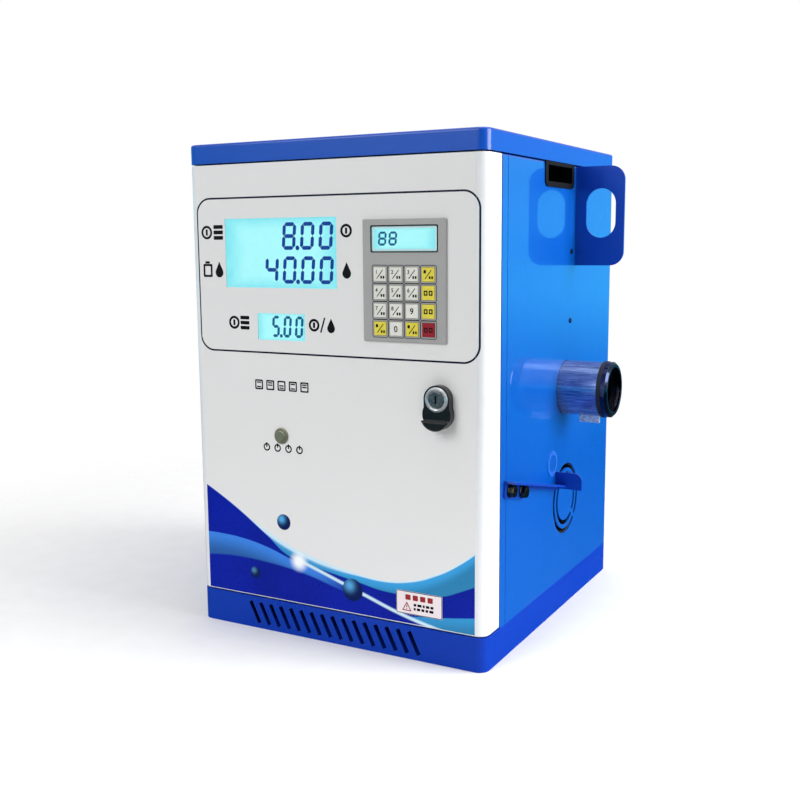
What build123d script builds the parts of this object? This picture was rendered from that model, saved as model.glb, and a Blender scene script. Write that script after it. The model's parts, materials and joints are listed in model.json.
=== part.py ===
from build123d import *
import math
import os

# Small fuel dispenser: a sheet-metal cabinet with a display door, a pump and
# a flow meter inside, and the nozzle fittings on its right side.
# Millimetres. Origin at the middle of the base on the ground, +X to the
# right seen from the front, the front facing -Y, +Z up.

# ---- driving dimensions ------------------------------------------------------
WIDTH = 376.0
DEPTH = 405.0
HEIGHT = 564.0
CORNER_R = 12.0          # upright front corners of base, door and cover
SHEET = 2.0              # sheet-metal thickness
BASE_H = 38.0            # base tray
COVER_H = 22.0           # top cover
COVER_GAP = 1.0          # reveal between the body and the cover
DOOR_T = 36.0            # depth of the door pan
DOOR_GAP = 2.5           # reveal behind the door
DOOR_EDGE_GAP = 1.5      # reveal under the door
FILM_T = 0.4             # printed film on the door
KEY_PITCH = 19.0         # standard key spacing
KEY_SIZE = 14.4
KEY_TRAVEL = 1.2
HOSE_TUBE_D = 65.0       # hose outlet tube
RUN_GAP = 0.05           # radial clearance of a shaft in its bore

# ---- derived positions -------------------------------------------------------
HALF_W = WIDTH / 2
FRONT_Y = -DEPTH / 2
BACK_Y = DEPTH / 2
BODY_FRONT_Y = FRONT_Y + DOOR_T + DOOR_GAP
BODY_TOP_Z = HEIGHT - COVER_H - COVER_GAP
COVER_Z = HEIGHT - COVER_H
IN_X = HALF_W - SHEET
IN_BACK_Y = BACK_Y - SHEET
DOOR_Z0 = BASE_H + DOOR_EDGE_GAP
DOOR_Z1 = BODY_TOP_Z - 0.5
DOOR_FACE_Y = FRONT_Y + FILM_T
DOOR_BACK_Y = FRONT_Y + DOOR_T

# front of the door, measured from the middle and from the ground
MAIN_LCD = (-62.5, HEIGHT - 122.5, 149.0, 77.0)       # x, z, width, height
PRICE_LCD = (-62.5, HEIGHT - 204.5, 64.0, 30.0)
PAD = (95.0, HEIGHT - 151.5, 98.0, 128.0)
PAD_LCD = (95.5, PAD[1] + 43.5, 77.0, 26.0)
KEYS_X0 = PAD_LCD[0] - 1.5 * KEY_PITCH
KEYS_Z0 = PAD[1] + 7.0
LOCK_XZ = (136.0, PAD[1] - 121.0)
BUTTON_XZ = (-65.5, PAD[1] - 177.0)
LABEL = (110.0, 64.5, 56.0, 26.0)

# right side, measured from the middle of the depth and from the ground
TUBE_YZ = (36.0, 277.0)
TUBE_OUT = 48.0
GRIP_Y = (-45.0, 50.0)
GRIP_Z0 = BODY_TOP_Z - 28.0
HOOK_Y = 60.0
HOOK_OUT = 60.0
HOOK_Z = (BODY_TOP_Z - 118.0, BODY_TOP_Z - 1.0)
HOOK_SLOT = (HALF_W + 31.5, BODY_TOP_Z - 56.0, 36.0, 58.0)       # x, z, width, height
SIDE_SCREWS = ((46.7, HOOK_Z[0] + 17.0), (46.7, HOOK_Z[0] - 66.0))
VENT_YZ = (40.5, 137.5)
VENT_RINGS = ((38.0, 44.0), (27.5, 33.0))
REST_FRONT = (-155.0, 199.5)
REST_REAR = (6.0, 162.0)
KNOCKOUT_YZ = (-8.0, 190.0)
KNOCKOUT_R = (10.5, 15.5)

# inside
PUMP_XYZ = (110.0, 62.0, BASE_H + 46.0)
METER_XYZ = (110.0, TUBE_YZ[0], TUBE_YZ[1])
GEAR_MODULE = 2.5
GEAR_TEETH = 14
GEAR_SPREAD = 0.3        # extra centre distance
HINGE_X = -HALF_W - 4.5
HINGE_Y = BODY_FRONT_Y - DOOR_GAP / 2
HINGE_Z = (110.0, HEIGHT - 94.0)


# ---- helpers -----------------------------------------------------------------
def box(x0, x1, y0, y1, z0, z1):
    """Axis-aligned block between two opposite corners."""
    size = (x1 - x0, y1 - y0, z1 - z0)
    mid = ((x0 + x1) / 2, (y0 + y1) / 2, (z0 + z1) / 2)
    return Pos(*mid) * Box(*size)


def rod_x(x0, x1, y, z, r):
    """Cylinder along X."""
    return Pos((x0 + x1) / 2, y, z) * Rot(0, 90, 0) * Cylinder(r, x1 - x0)


def rod_y(y0, y1, x, z, r):
    """Cylinder along Y."""
    return Pos(x, (y0 + y1) / 2, z) * Rot(90, 0, 0) * Cylinder(r, y1 - y0)


def rod_z(z0, z1, x, y, r):
    """Cylinder along Z."""
    return Pos(x, y, (z0 + z1) / 2) * Cylinder(r, z1 - z0)


def plate_y(y0, y1, centre, width, height, r):
    """Flat plate facing the front with rounded corners."""
    blank = box(
        centre[0] - width / 2, centre[0] + width / 2, y0, y1,
        centre[1] - height / 2, centre[1] + height / 2,
    )
    return fillet(blank.edges().filter_by(Axis.Y), r)


def footprint(y0, y1, z0, z1, inset, r):
    """Block on the cabinet's plan with its two front uprights rounded."""
    blank = box(-HALF_W + inset, HALF_W - inset, y0 + inset, y1, z0, z1)
    uprights = blank.edges().filter_by(Axis.Z).sort_by(Axis.Y)[:2]
    return fillet(uprights, r)


def save(name, shape):
    """Write one node."""
    export_step(shape, os.path.join("parts", name + ".step"))


# ---- cabinet -----------------------------------------------------------------
def base_tray():
    """Open tray with a turned-in rim, louvres in front and four floor holes."""
    rim_w = 14.0
    tray = footprint(FRONT_Y, BACK_Y, 0, BASE_H, 0, CORNER_R)
    tray -= footprint(FRONT_Y, BACK_Y - SHEET, SHEET, BASE_H - SHEET, SHEET, CORNER_R - SHEET)
    mouth = box(
        -HALF_W + rim_w, HALF_W - rim_w, BODY_FRONT_Y + rim_w, BACK_Y - rim_w,
        BASE_H - 2 * SHEET, BASE_H + SHEET,
    )
    tray -= mouth
    louvre_n = 16
    louvre_pitch = 14.2
    louvre_x0 = -110.0
    louvre_lean = 26.0
    slot_len = 28.0
    slot_w = 5.4
    for i in range(louvre_n):
        x = louvre_x0 + i * louvre_pitch
        slot = box(-slot_w / 2, slot_w / 2, -SHEET * 2, SHEET * 2, -slot_len / 2, slot_len / 2)
        tray -= Pos(x, FRONT_Y, BASE_H / 2) * Rot(0, -louvre_lean, 0) * slot
    for x in (-BOLT_X, BOLT_X):
        for y in (-BOLT_Y, BOLT_Y):
            tray -= rod_z(-SHEET, 2 * SHEET, x, y, BOLT_HOLE_R)
    return tray


BOLT_X = 150.0           # floor holes that bolt the dispenser down
BOLT_Y = 165.0
BOLT_HOLE_R = 4.5


def vent_slots():
    """Ring-shaped fan slots, each broken by two opposite bridges."""
    y, z = VENT_YZ
    bridge_w = 5.0
    cut = None
    for inner, outer in VENT_RINGS:
        ring = rod_x(IN_X - 1, HALF_W + 1, y, z, outer) - rod_x(IN_X - 2, HALF_W + 2, y, z, inner)
        cut = ring if cut is None else cut + ring
    reach = VENT_RINGS[0][1] + 5
    bridge = box(IN_X - 3, HALF_W + 3, -bridge_w / 2, bridge_w / 2, 0, reach)
    for turn in (47, 227):
        cut -= Pos(0, y, z) * Rot(turn, 0, 0) * bridge
    return cut


def cabinet_block():
    """Solid outline of the cabinet between base and cover."""
    top_r = 3.0
    block = box(-HALF_W, HALF_W, BODY_FRONT_Y, BACK_Y, BASE_H, BODY_TOP_Z)
    sides = block.edges().filter_by(Axis.Y).group_by(Axis.Z)[-1]
    return fillet(sides, top_r)


def side_panels():
    """The two flat sides with their vent, tube, grip and screw openings."""
    lip = 6.0
    seam_w = 1.2
    seam_d = 0.7
    sides = cabinet_block() - box(-IN_X, IN_X, BODY_FRONT_Y - 1, BACK_Y + 1, 0, HEIGHT)
    sides -= vent_slots()
    sides -= rod_x(IN_X - 1, HALF_W + 1, *TUBE_YZ, HOSE_TUBE_D / 2 + 0.5)
    sides -= box(
        -HALF_W - 1, HALF_W + 1, GRIP_Y[0] + lip, GRIP_Y[1] - lip,
        GRIP_Z0 + 4, BODY_TOP_Z - SHEET - 0.5,
    )
    seam_y = BODY_FRONT_Y + SEAM_INSET
    for x in (-HALF_W, HALF_W - seam_d):
        sides -= box(x, x + seam_d, seam_y, seam_y + seam_w, BASE_H - 1, BODY_TOP_Z + 1)
    knockout = rod_x(IN_X, HALF_W + 0.8, *KNOCKOUT_YZ, KNOCKOUT_R[1])
    knockout -= rod_x(HALF_W, HALF_W + 2, *KNOCKOUT_YZ, KNOCKOUT_R[0])
    sides += knockout
    for y, z in HOOK_SCREWS + SIDE_SCREWS:
        sides -= rod_x(IN_X - 1, HALF_W + 1, y, z, SCREW_R + 0.2)
    for y, z in rest_bolt_points():
        sides -= rod_x(IN_X - 1, HALF_W + 1, y, z, REST_BOLT_R + 0.2)
    return sides


def body_shell():
    """Back of the cabinet with the flanges that frame its front, top and bottom."""
    front_flange = 27.0
    sill = 26.0
    rim = 24.0
    shell = cabinet_block() & box(-IN_X, IN_X, BODY_FRONT_Y, BACK_Y, BASE_H, BODY_TOP_Z)
    shell -= box(
        -IN_X - 1, IN_X + 1, BODY_FRONT_Y + SHEET, IN_BACK_Y, BASE_H + SHEET, BODY_TOP_Z - SHEET,
    )
    shell -= box(
        -HALF_W + front_flange, HALF_W - front_flange, BODY_FRONT_Y - 1,
        BODY_FRONT_Y + SHEET + 1, BASE_H + sill, BODY_TOP_Z - sill,
    )
    for z0 in (BASE_H - 1, BODY_TOP_Z - SHEET - 1):
        shell -= box(
            -HALF_W + rim, HALF_W - rim, BODY_FRONT_Y + rim, BACK_Y - rim, z0, z0 + SHEET + 2,
        )
    shell -= rod_y(IN_BACK_Y - 1, BACK_Y + 1, PUMP_XYZ[0], PUMP_XYZ[2], INLET_R + 0.5)
    shell -= rod_y(IN_BACK_Y - 1, BACK_Y + 1, *GLAND_XZ, GLAND_R + 0.2)
    for x in COVER_SCREW_X:
        shell -= rod_y(IN_BACK_Y - 1, BACK_Y + 1, x, BODY_TOP_Z - 15, SCREW_R + 0.2)
    return shell


SEAM_INSET = 14.0        # pressed seam behind the front edge of the sides
INLET_R = 17.0
GLAND_XZ = (-140.0, 70.0)
GLAND_R = 10.0
SCREW_R = 2.5
REST_BOLT_R = 4.0
COVER_SCREW_X = (-150.0, 0.0, 150.0)
HOOK_SCREWS = ((72.0, HOOK_Z[0] + 17.0), (72.0, HOOK_Z[1] - 16.0))


def top_cover():
    """Shallow pressed lid that also covers the door, on two long ribs."""
    edge_r = 3.0
    rib_x = 168.0
    rib_w = 8.0
    lid = footprint(FRONT_Y, BACK_Y, COVER_Z, HEIGHT, 0, CORNER_R)
    lid = fillet(lid.faces().sort_by(Axis.Z)[-1].edges(), edge_r)
    lid -= footprint(FRONT_Y, BACK_Y - SHEET, COVER_Z - 1, HEIGHT - SHEET, SHEET, CORNER_R - SHEET)
    for x in (-rib_x, rib_x):
        lid += box(x - rib_w / 2, x + rib_w / 2, BODY_FRONT_Y + 6, BACK_Y - 8, BODY_TOP_Z, HEIGHT - 1)
    return lid


def door_blank(inset, r):
    """Outer form of the door with its upright and edge radii."""
    edge_r = 1.2
    blank = box(
        -HALF_W + inset, HALF_W - inset, DOOR_FACE_Y + inset, DOOR_BACK_Y,
        DOOR_Z0 + inset, DOOR_Z1 - inset,
    )
    uprights = blank.edges().filter_by(Axis.Z).sort_by(Axis.Y)[:2]
    blank = fillet(uprights, r)
    if inset == 0:
        rim = blank.faces().sort_by(Axis.Y)[0].edges().filter_by(Axis.X)
        blank = fillet(rim, edge_r)
    return blank


def door_panel():
    """White door pan, open at the back, with the holes for its fittings."""
    lip = 14.0
    pan = door_blank(0, CORNER_R)
    pan -= door_blank(SHEET, CORNER_R - SHEET) - box(
        -HALF_W, HALF_W, DOOR_BACK_Y - SHEET, DOOR_BACK_Y + 1, DOOR_Z0, DOOR_Z1,
    )
    pan -= box(
        -HALF_W + lip, HALF_W - lip, DOOR_BACK_Y - 2 * SHEET, DOOR_BACK_Y + 1,
        DOOR_Z0 + lip, DOOR_Z1 - lip,
    )
    y0 = FRONT_Y - 1
    y1 = DOOR_FACE_Y + SHEET + 1
    for x, z, w, h in (MAIN_LCD, PRICE_LCD):
        pan -= box(x - w / 2, x + w / 2, y0, y1, z - h / 2, z + h / 2)
    pan -= box(*pad_throat(0.5)[0], y0, y1, *pad_throat(0.5)[1])
    pan -= rod_y(y0, y1, *LOCK_XZ, LOCK_NECK_R + 0.3)
    pan -= rod_y(y0, y1, *BUTTON_XZ, BUTTON_NECK_R + 0.2)
    return pan


LOCK_NECK_R = 11.0
BUTTON_NECK_R = 7.5


def pad_throat(grow):
    """X and Z limits of the keypad's hole in the door."""
    half_w = PAD[2] / 2 - 4 + grow
    half_h = PAD[3] / 2 - 2.5 + grow
    return (PAD[0] - half_w, PAD[0] + half_w), (PAD[1] - half_h, PAD[1] + half_h)


def front_film():
    """Printed film over the flat of the door with clear openings."""
    edge = 1.5
    mid = (DOOR_Z0 + DOOR_Z1) / 2
    film = plate_y(
        FRONT_Y, DOOR_FACE_Y, (0, mid), WIDTH - 2 * CORNER_R, DOOR_Z1 - DOOR_Z0 - 2 * edge, 1,
    )
    for x, z, w, h in (MAIN_LCD, PRICE_LCD):
        film -= box(x - w / 2, x + w / 2, FRONT_Y - 1, DOOR_FACE_Y + 1, z - h / 2, z + h / 2)
    film -= box(*pad_throat(0.5)[0], FRONT_Y - 1, DOOR_FACE_Y + 1, *pad_throat(0.5)[1])
    film -= rod_y(FRONT_Y - 1, DOOR_FACE_Y + 1, *LOCK_XZ, LOCK_NECK_R + 0.3)
    film -= rod_y(FRONT_Y - 1, DOOR_FACE_Y + 1, *BUTTON_XZ, BUTTON_NECK_R + 0.2)
    return film


# ---- door hinges -------------------------------------------------------------
HINGE_PIN_R = 2.5
KNUCKLE_R = 4.3
KNUCKLE_L = 20.0
LEAF_T = 1.5


def hinge_leaf_pair(door_side):
    """Leaves and knuckles of both hinges on one side of the pin."""
    parts = None
    reach = 26.0
    for z in HINGE_Z:
        z0, z1 = z - 1.5 * KNUCKLE_L, z + 1.5 * KNUCKLE_L
        if door_side:
            leaf = box(-HALF_W - LEAF_T, -HALF_W, HINGE_Y - reach, HINGE_Y - 0.9, z0, z1)
            tie = box(HINGE_X, -HALF_W, HINGE_Y - 2.4, HINGE_Y - 0.9, z0, z1)
            keep = ((z0, z0 + KNUCKLE_L - 0.2), (z1 - KNUCKLE_L + 0.2, z1))
        else:
            leaf = box(-HALF_W - LEAF_T, -HALF_W, HINGE_Y + 0.9, HINGE_Y + reach, z0, z1)
            tie = box(HINGE_X, -HALF_W, HINGE_Y + 0.9, HINGE_Y + 2.4, z0, z1)
            keep = ((z0 + KNUCKLE_L, z1 - KNUCKLE_L),)
        knuckle = None
        for k0, k1 in keep:
            barrel = rod_z(k0, k1, HINGE_X, HINGE_Y, KNUCKLE_R) + (
                tie & box(-300, 0, -300, 300, k0, k1)
            )
            barrel -= box(-HALF_W, 0, -300, 300, k0 - 1, k1 + 1)
            knuckle = barrel if knuckle is None else knuckle + barrel
        gap = rod_z(z - KNUCKLE_L / 2 - 0.2, z + KNUCKLE_L / 2 + 0.2, HINGE_X, HINGE_Y, KNUCKLE_R + 0.4)
        if door_side:
            bore = rod_z(z0 - 1, z1 + 1, HINGE_X, HINGE_Y, HINGE_PIN_R + RUN_GAP)
            hinge = (leaf + knuckle) - bore - gap
        else:
            ends = rod_z(z0 - 1, z0 + KNUCKLE_L, HINGE_X, HINGE_Y, KNUCKLE_R + 0.4)
            ends += rod_z(z1 - KNUCKLE_L, z1 + 1, HINGE_X, HINGE_Y, KNUCKLE_R + 0.4)
            hinge = (leaf - ends) + knuckle + rod_z(z0 - 1.5, z1 + 1.5, HINGE_X, HINGE_Y, HINGE_PIN_R)
        parts = hinge if parts is None else parts + hinge
    return parts


# ---- displays and label ------------------------------------------------------
LENS_T = 1.0


def display_lenses():
    """The three clear windows: two in the door and one in the keypad."""
    lens = None
    for x, z, w, h in (MAIN_LCD, PRICE_LCD):
        pane = box(x - w / 2, x + w / 2, FRONT_Y, FRONT_Y + LENS_T, z - h / 2, z + h / 2)
        lens = pane if lens is None else lens + pane
    x, z, w, h = PAD_LCD
    return lens + box(x - w / 2, x + w / 2, PAD_FACE_Y, PAD_FACE_Y + LENS_T, z - h / 2, z + h / 2)


PAD_PROUD = 2.8
PAD_FACE_Y = FRONT_Y - PAD_PROUD
PAD_PLATE_T = 3.5
PAD_BACK_Y = FRONT_Y + 14.0


def lcd_module(spec, face_y, depth):
    """Display glass on a wider carrier board."""
    x, z, w, h = spec
    step = 2.4
    border = 4.0
    glass = box(x - w / 2, x + w / 2, face_y, face_y + step, z - h / 2, z + h / 2)
    carrier_y = max(face_y + step, DOOR_FACE_Y + SHEET)
    glass += box(x - w / 2, x + w / 2, face_y, carrier_y, z - h / 2, z + h / 2)
    return glass + box(
        x - w / 2 - border, x + w / 2 + border, carrier_y, carrier_y + depth,
        z - h / 2 - border, z + h / 2 + border,
    )


def info_label():
    """Thin plate low on the door."""
    x, z, w, h = LABEL
    return plate_y(FRONT_Y - 0.4, FRONT_Y, (x, z), w, h, 1.5)


# ---- keypad ------------------------------------------------------------------
def key_centres():
    """Sixteen keys, row by row from the top left."""
    return [
        (row, col, KEYS_X0 + col * KEY_PITCH, KEYS_Z0 - row * KEY_PITCH)
        for row in range(4)
        for col in range(4)
    ]


def keypad_bezel():
    """Raised frame with key apertures, a display aperture and a rear skirt."""
    clearance = 0.3
    bezel = plate_y(PAD_FACE_Y, FRONT_Y, (PAD[0], PAD[1]), PAD[2], PAD[3], 1.5)
    bezel = chamfer(bezel.faces().sort_by(Axis.Y)[0].edges(), 0.8)
    (x0, x1), (z0, z1) = pad_throat(0)
    plate_y1 = PAD_FACE_Y + PAD_PLATE_T
    wall = 2.0
    bezel += box(x0, x1, FRONT_Y - 0.5, PAD_BACK_Y, z0, z1)
    bezel -= box(x0 + wall, x1 - wall, plate_y1, PAD_BACK_Y + 1, z0 + wall, z1 - wall)
    hole = KEY_SIZE + 2 * clearance
    for _, _, x, z in key_centres():
        bezel -= box(x - hole / 2, x + hole / 2, PAD_FACE_Y - 1, plate_y1 + 1, z - hole / 2, z + hole / 2)
    x, z, w, h = PAD_LCD
    bezel -= box(x - w / 2, x + w / 2, PAD_FACE_Y - 1, plate_y1 + 1, z - h / 2, z + h / 2)
    return bezel


def key_cap(x, z):
    """Square key with a retaining flange and a stem."""
    proud = 0.8
    flange = 17.8
    seat_y = PAD_FACE_Y + PAD_PLATE_T + RUN_GAP
    flange_y = PAD_FACE_Y + PAD_PLATE_T + 1
    half = KEY_SIZE / 2
    cap = box(x - half, x + half, PAD_FACE_Y - proud, seat_y, z - half, z + half)
    cap = fillet(cap.faces().sort_by(Axis.Y)[0].edges(), 0.5)
    cap += box(x - flange / 2, x + flange / 2, seat_y, flange_y, z - flange / 2, z + flange / 2)
    return cap + rod_y(flange_y, flange_y + 2, x, z, 2.5)


def keypad_board():
    """Board inside the skirt with one switch behind each key."""
    (x0, x1), (z0, z1) = pad_throat(0)
    wall = 2.0
    board_y = PAD_BACK_Y - 3.0
    stem_end = PAD_FACE_Y + PAD_PLATE_T + 3.0
    board = box(x0 + wall, x1 - wall, board_y, board_y + 1.6, z0 + wall, z1 - wall)
    for _, _, x, z in key_centres():
        board += rod_y(stem_end + KEY_TRAVEL + 0.3, board_y, x, z, 3.0)
        board += box(x - 4, x + 4, board_y - 2.5, board_y, z - 4, z + 4)
    return board


def keypad_lcd():
    """Small display between its window and the board."""
    x, z, w, h = PAD_LCD
    return box(x - w / 2, x + w / 2, PAD_FACE_Y + LENS_T, PAD_BACK_Y - 3.0, z - h / 2, z + h / 2)


# ---- power button ------------------------------------------------------------
BUTTON_R = 6.5
BUTTON_TRAVEL = 2.0


def power_button_body():
    """Metal bezel ring, threaded neck, nut and closed rear of the push button."""
    x, z = BUTTON_XZ
    ring = rod_y(FRONT_Y - 2.2, FRONT_Y, x, z, 9.2)
    ring = chamfer(ring.edges().group_by(Axis.Y)[0], 0.9)
    ring += rod_y(FRONT_Y - 1, FRONT_Y + 24, x, z, BUTTON_NECK_R)
    nut_y = DOOR_FACE_Y + SHEET
    nut = extrude(Plane.XZ.offset(-nut_y) * Pos(x, z) * RegularPolygon(10.5, 6), -3.5)
    ring += nut
    return ring - rod_y(FRONT_Y - 3, FRONT_Y + 16, x, z, BUTTON_R + RUN_GAP)


def power_button():
    """Domed push cap with its plunger."""
    x, z = BUTTON_XZ
    cap = rod_y(FRONT_Y - 3.4, FRONT_Y + 12, x, z, BUTTON_R)
    return fillet(cap.edges().group_by(Axis.Y)[0], 1.2)


# ---- door lock ---------------------------------------------------------------
LOCK_PLUG_R = 8.5


def lock_handle():
    """Black wing handle: a round head above a wider, flared thumb grip."""
    x, z = LOCK_XZ
    drop = 16.0
    flare = 7.0
    ledge_z = z - drop - 6.0
    back = FRONT_Y - 0.3
    front = FRONT_Y - HANDLE_PROUD
    handle = rod_y(front, back, x, z, HEAD_R)
    handle += rod_y(front, back, x, z - drop, GRIP_R)
    handle += box(x - HEAD_R, x + HEAD_R, front, back, z - drop, z)
    lip = rod_y(front - flare, front + 1, x, z - drop, GRIP_R)
    lip -= box(x - 40, x + 40, front - flare - 1, front + 2, ledge_z, z + 40)
    lip = chamfer(lip.edges().group_by(Axis.Y)[0], 1.5)
    handle += lip
    return handle - rod_y(front - flare - 1, FRONT_Y, x, z, COLLAR_R)


HANDLE_PROUD = 9.5
HEAD_R = 14.8
GRIP_R = 16.4
COLLAR_R = 13.2


def lock_cylinder():
    """Chrome collar and the neck that passes through the door, with a square end."""
    x, z = LOCK_XZ
    face = FRONT_Y - HANDLE_PROUD - 1.5
    collar = rod_y(face, FRONT_Y - 0.3, x, z, COLLAR_R)
    collar = chamfer(collar.edges().group_by(Axis.Y)[0], 1.5)
    collar += rod_y(FRONT_Y - 1, CAM_Y0, x, z, LOCK_NECK_R)
    tail = 5.0
    collar += box(x - tail, x + tail, CAM_Y0 - 1, CAM_Y0 + 3, z - tail, z + tail)
    dish = Pos(x, face + 0.75, z) * Rot(90, 0, 0) * Cone(LOCK_PLUG_R, LOCK_PLUG_R + 2.2, 1.5)
    return collar - dish - rod_y(face - 1, FRONT_Y + 16, x, z, LOCK_PLUG_R + RUN_GAP)


CAM_Y0 = BODY_FRONT_Y + SHEET + 1.0


def lock_plug():
    """Round key plug with a keyway."""
    x, z = LOCK_XZ
    face = FRONT_Y - HANDLE_PROUD - 2.0
    plug = rod_y(face, FRONT_Y + 14, x, z, LOCK_PLUG_R)
    plug = chamfer(plug.edges().group_by(Axis.Y)[0], 0.4)
    return plug - box(x - 1.1, x + 1.1, face - 1, face + 14, z - 4.5, z + 4.5)


def lock_cam():
    """Latch cam hanging straight down from the square tail, with its nut."""
    x, z = LOCK_XZ
    length = 42.0
    tail = 5.0
    cam = box(x - 8, x + 8, CAM_Y0, CAM_Y0 + 3, z - length + 8, z + 8)
    cam += rod_y(CAM_Y0, CAM_Y0 + 3, x, z - length + 8, 8)
    cam -= box(x - tail, x + tail, CAM_Y0 - 1, CAM_Y0 + 4, z - tail, z + tail)
    nut = extrude(Plane.XZ.offset(-(CAM_Y0 + 3)) * Pos(x, z) * RegularPolygon(7.5, 6), -4)
    return cam + nut


# ---- right-hand fittings -----------------------------------------------------
def carry_grips():
    """Black hand-hold cups let into the top of both sides."""
    cup_depth = 32.0
    bezel_t = 1.5
    wall = 2.0
    mouth = 6.0
    y0, y1 = GRIP_Y
    z0, z1 = GRIP_Z0, BODY_TOP_Z
    flange = box(HALF_W, HALF_W + bezel_t, y0, y1, z0, z1)
    lower = flange.edges().filter_by(Axis.X).group_by(Axis.Z)[0]
    flange = fillet(lower, 8)
    cup = box(
        HALF_W - cup_depth, HALF_W, y0 + mouth, y1 - mouth, z0 + 4, z1 - SHEET - 0.5,
    )
    hollow = box(
        HALF_W - cup_depth + wall, HALF_W + bezel_t + 1, y0 + mouth + wall,
        y1 - mouth - wall, z0 + 4 + wall, z1 - SHEET - 0.5 - 1.5,
    )
    right = flange + cup - hollow
    return right + mirror(right, Plane.YZ)


def nozzle_hook_plate():
    """Upright plate square to the side with an oval slot, on a screwed flange."""
    t = 2.5
    corner = 17.0
    flange_w = 26.0
    z0, z1 = HOOK_Z
    plate = box(HALF_W, HALF_W + HOOK_OUT, HOOK_Y, HOOK_Y + t, z0, z1)
    outer = plate.edges().filter_by(Axis.Y).group_by(Axis.X)[-1]
    plate = fillet(outer, corner)
    x, z, w, h = HOOK_SLOT
    slot = plate_y(HOOK_Y - 1, HOOK_Y + t + 1, (x, z), w, h, w / 2 - 0.01)
    plate -= slot
    flange = box(HALF_W, HALF_W + t, HOOK_Y, HOOK_Y + flange_w, z0, z1)
    plate += flange
    for y, z in HOOK_SCREWS:
        plate -= rod_x(HALF_W - 1, HALF_W + t + 1, y, z, SCREW_R + 0.2)
    return plate


def rest_slope():
    """Unit vector along the nozzle rest, in the YZ plane."""
    dy = REST_REAR[0] - REST_FRONT[0]
    dz = REST_REAR[1] - REST_FRONT[1]
    span = math.hypot(dy, dz)
    return dy / span, dz / span, span


def rest_bolt_points():
    """Bolt centres below the front of the nozzle rest."""
    uy, uz, _ = rest_slope()
    drop = 10.0
    return [
        (REST_FRONT[0] + s * uy + drop * uz, REST_FRONT[1] + s * uz - drop * uy)
        for s in (12.0, 47.0)
    ]


def rest_bracket():
    """Sloping ledge along the side, bolted at the front, with an end tab."""
    t = 2.5
    ledge = 14.0
    skirt_h = 7.0
    ear_len = 60.0
    ear_h = 18.5
    _, _, span = rest_slope()
    angle = math.degrees(math.atan2(REST_REAR[1] - REST_FRONT[1], REST_REAR[0] - REST_FRONT[0]))
    strip = box(HALF_W, HALF_W + ledge, 0, span, -t, 0)
    strip += box(HALF_W, HALF_W + t, 0, span, -skirt_h, 0)
    ear = box(HALF_W, HALF_W + t, 0, ear_len, -ear_h, -t / 2)
    lower = ear.edges().filter_by(Axis.X).group_by(Axis.Z)[0]
    strip += fillet(lower, 6)
    strip = Pos(0, *REST_FRONT) * Rot(angle, 0, 0) * strip
    tab_w = 33.0
    tab_h = 20.0
    y, z = REST_REAR
    tab = box(HALF_W, HALF_W + tab_w, y - t, y, z - 4, z + tab_h - 4)
    corner = tab.edges().filter_by(Axis.Y).sort_by(lambda e: e.center().X + e.center().Z)[-1]
    strip += fillet(corner, 9)
    for by, bz in rest_bolt_points():
        strip -= rod_x(HALF_W - 1, HALF_W + t + 1, by, bz, REST_BOLT_R + 0.2)
    return strip


def rest_bolts():
    """Two hexagon bolts with washers and inside nuts."""
    bolts = None
    t = 2.5
    for y, z in rest_bolt_points():
        x0 = HALF_W + t
        bolt = rod_x(IN_X - 9, x0 + 1, y, z, REST_BOLT_R)
        bolt += rod_x(x0, x0 + 1.6, y, z, 7.3)
        hexagon = Plane.YZ.offset(x0 + 1.6) * Pos(y, z) * RegularPolygon(7.0, 6)
        bolt += extrude(hexagon, 5.5)
        nut = Plane.YZ.offset(IN_X - 6.5) * Pos(y, z) * RegularPolygon(7.5, 6)
        bolt += extrude(nut, 6.5)
        bolts = bolt if bolts is None else bolts + bolt
    return bolts


def outlet_tube():
    """Hose outlet: a thick tube through the side with a flange inside."""
    y, z = TUBE_YZ
    x_in = METER_XYZ[0] + 40
    tube = rod_x(x_in, HALF_W + TUBE_OUT, y, z, HOSE_TUBE_D / 2)
    tube += rod_x(IN_X - 8, IN_X, y, z, HOSE_TUBE_D / 2 + 13)
    tube -= rod_x(x_in - 1, x_in + 12, y, z, 10)
    tube -= rod_x(x_in + 10, HALF_W + SHEET + 1, y, z, OUTLET_NECK_R)
    return tube - rod_x(HALF_W + SHEET, HALF_W + TUBE_OUT + 1, y, z, OUTLET_BORE_R)


OUTLET_NECK_R = 21.0
OUTLET_BORE_R = 27.0
SEAL_T = 4.5
RING_T = 8.0


def outlet_seal():
    """Black sealing ring at the tube's end."""
    y, z = TUBE_YZ
    x0 = HALF_W + TUBE_OUT
    seal = rod_x(x0, x0 + SEAL_T, y, z, HOSE_TUBE_D / 2 + 1.2)
    return seal - rod_x(x0 - 1, x0 + SEAL_T + 1, y, z, OUTLET_BORE_R)


def outlet_ring():
    """Bright end ring with a stepped, threaded-size bore."""
    y, z = TUBE_YZ
    x0 = HALF_W + TUBE_OUT + SEAL_T
    ring = rod_x(x0, x0 + RING_T, y, z, HOSE_TUBE_D / 2 + 0.6)
    ring = chamfer(ring.edges().group_by(Axis.X)[-1], 2.5)
    return ring - rod_x(x0 - 1, x0 + RING_T + 1, y, z, OUTLET_BORE_R)


def earth_lug():
    """Small flat lug seated under the tube."""
    y, z = TUBE_YZ
    lug = box(HALF_W + 18, HALF_W + 43, y - 2, y + 2, z - HOSE_TUBE_D / 2 - 8.5, z - 20)
    return lug - rod_x(HALF_W, HALF_W + TUBE_OUT + 2, y, z, HOSE_TUBE_D / 2)


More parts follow.
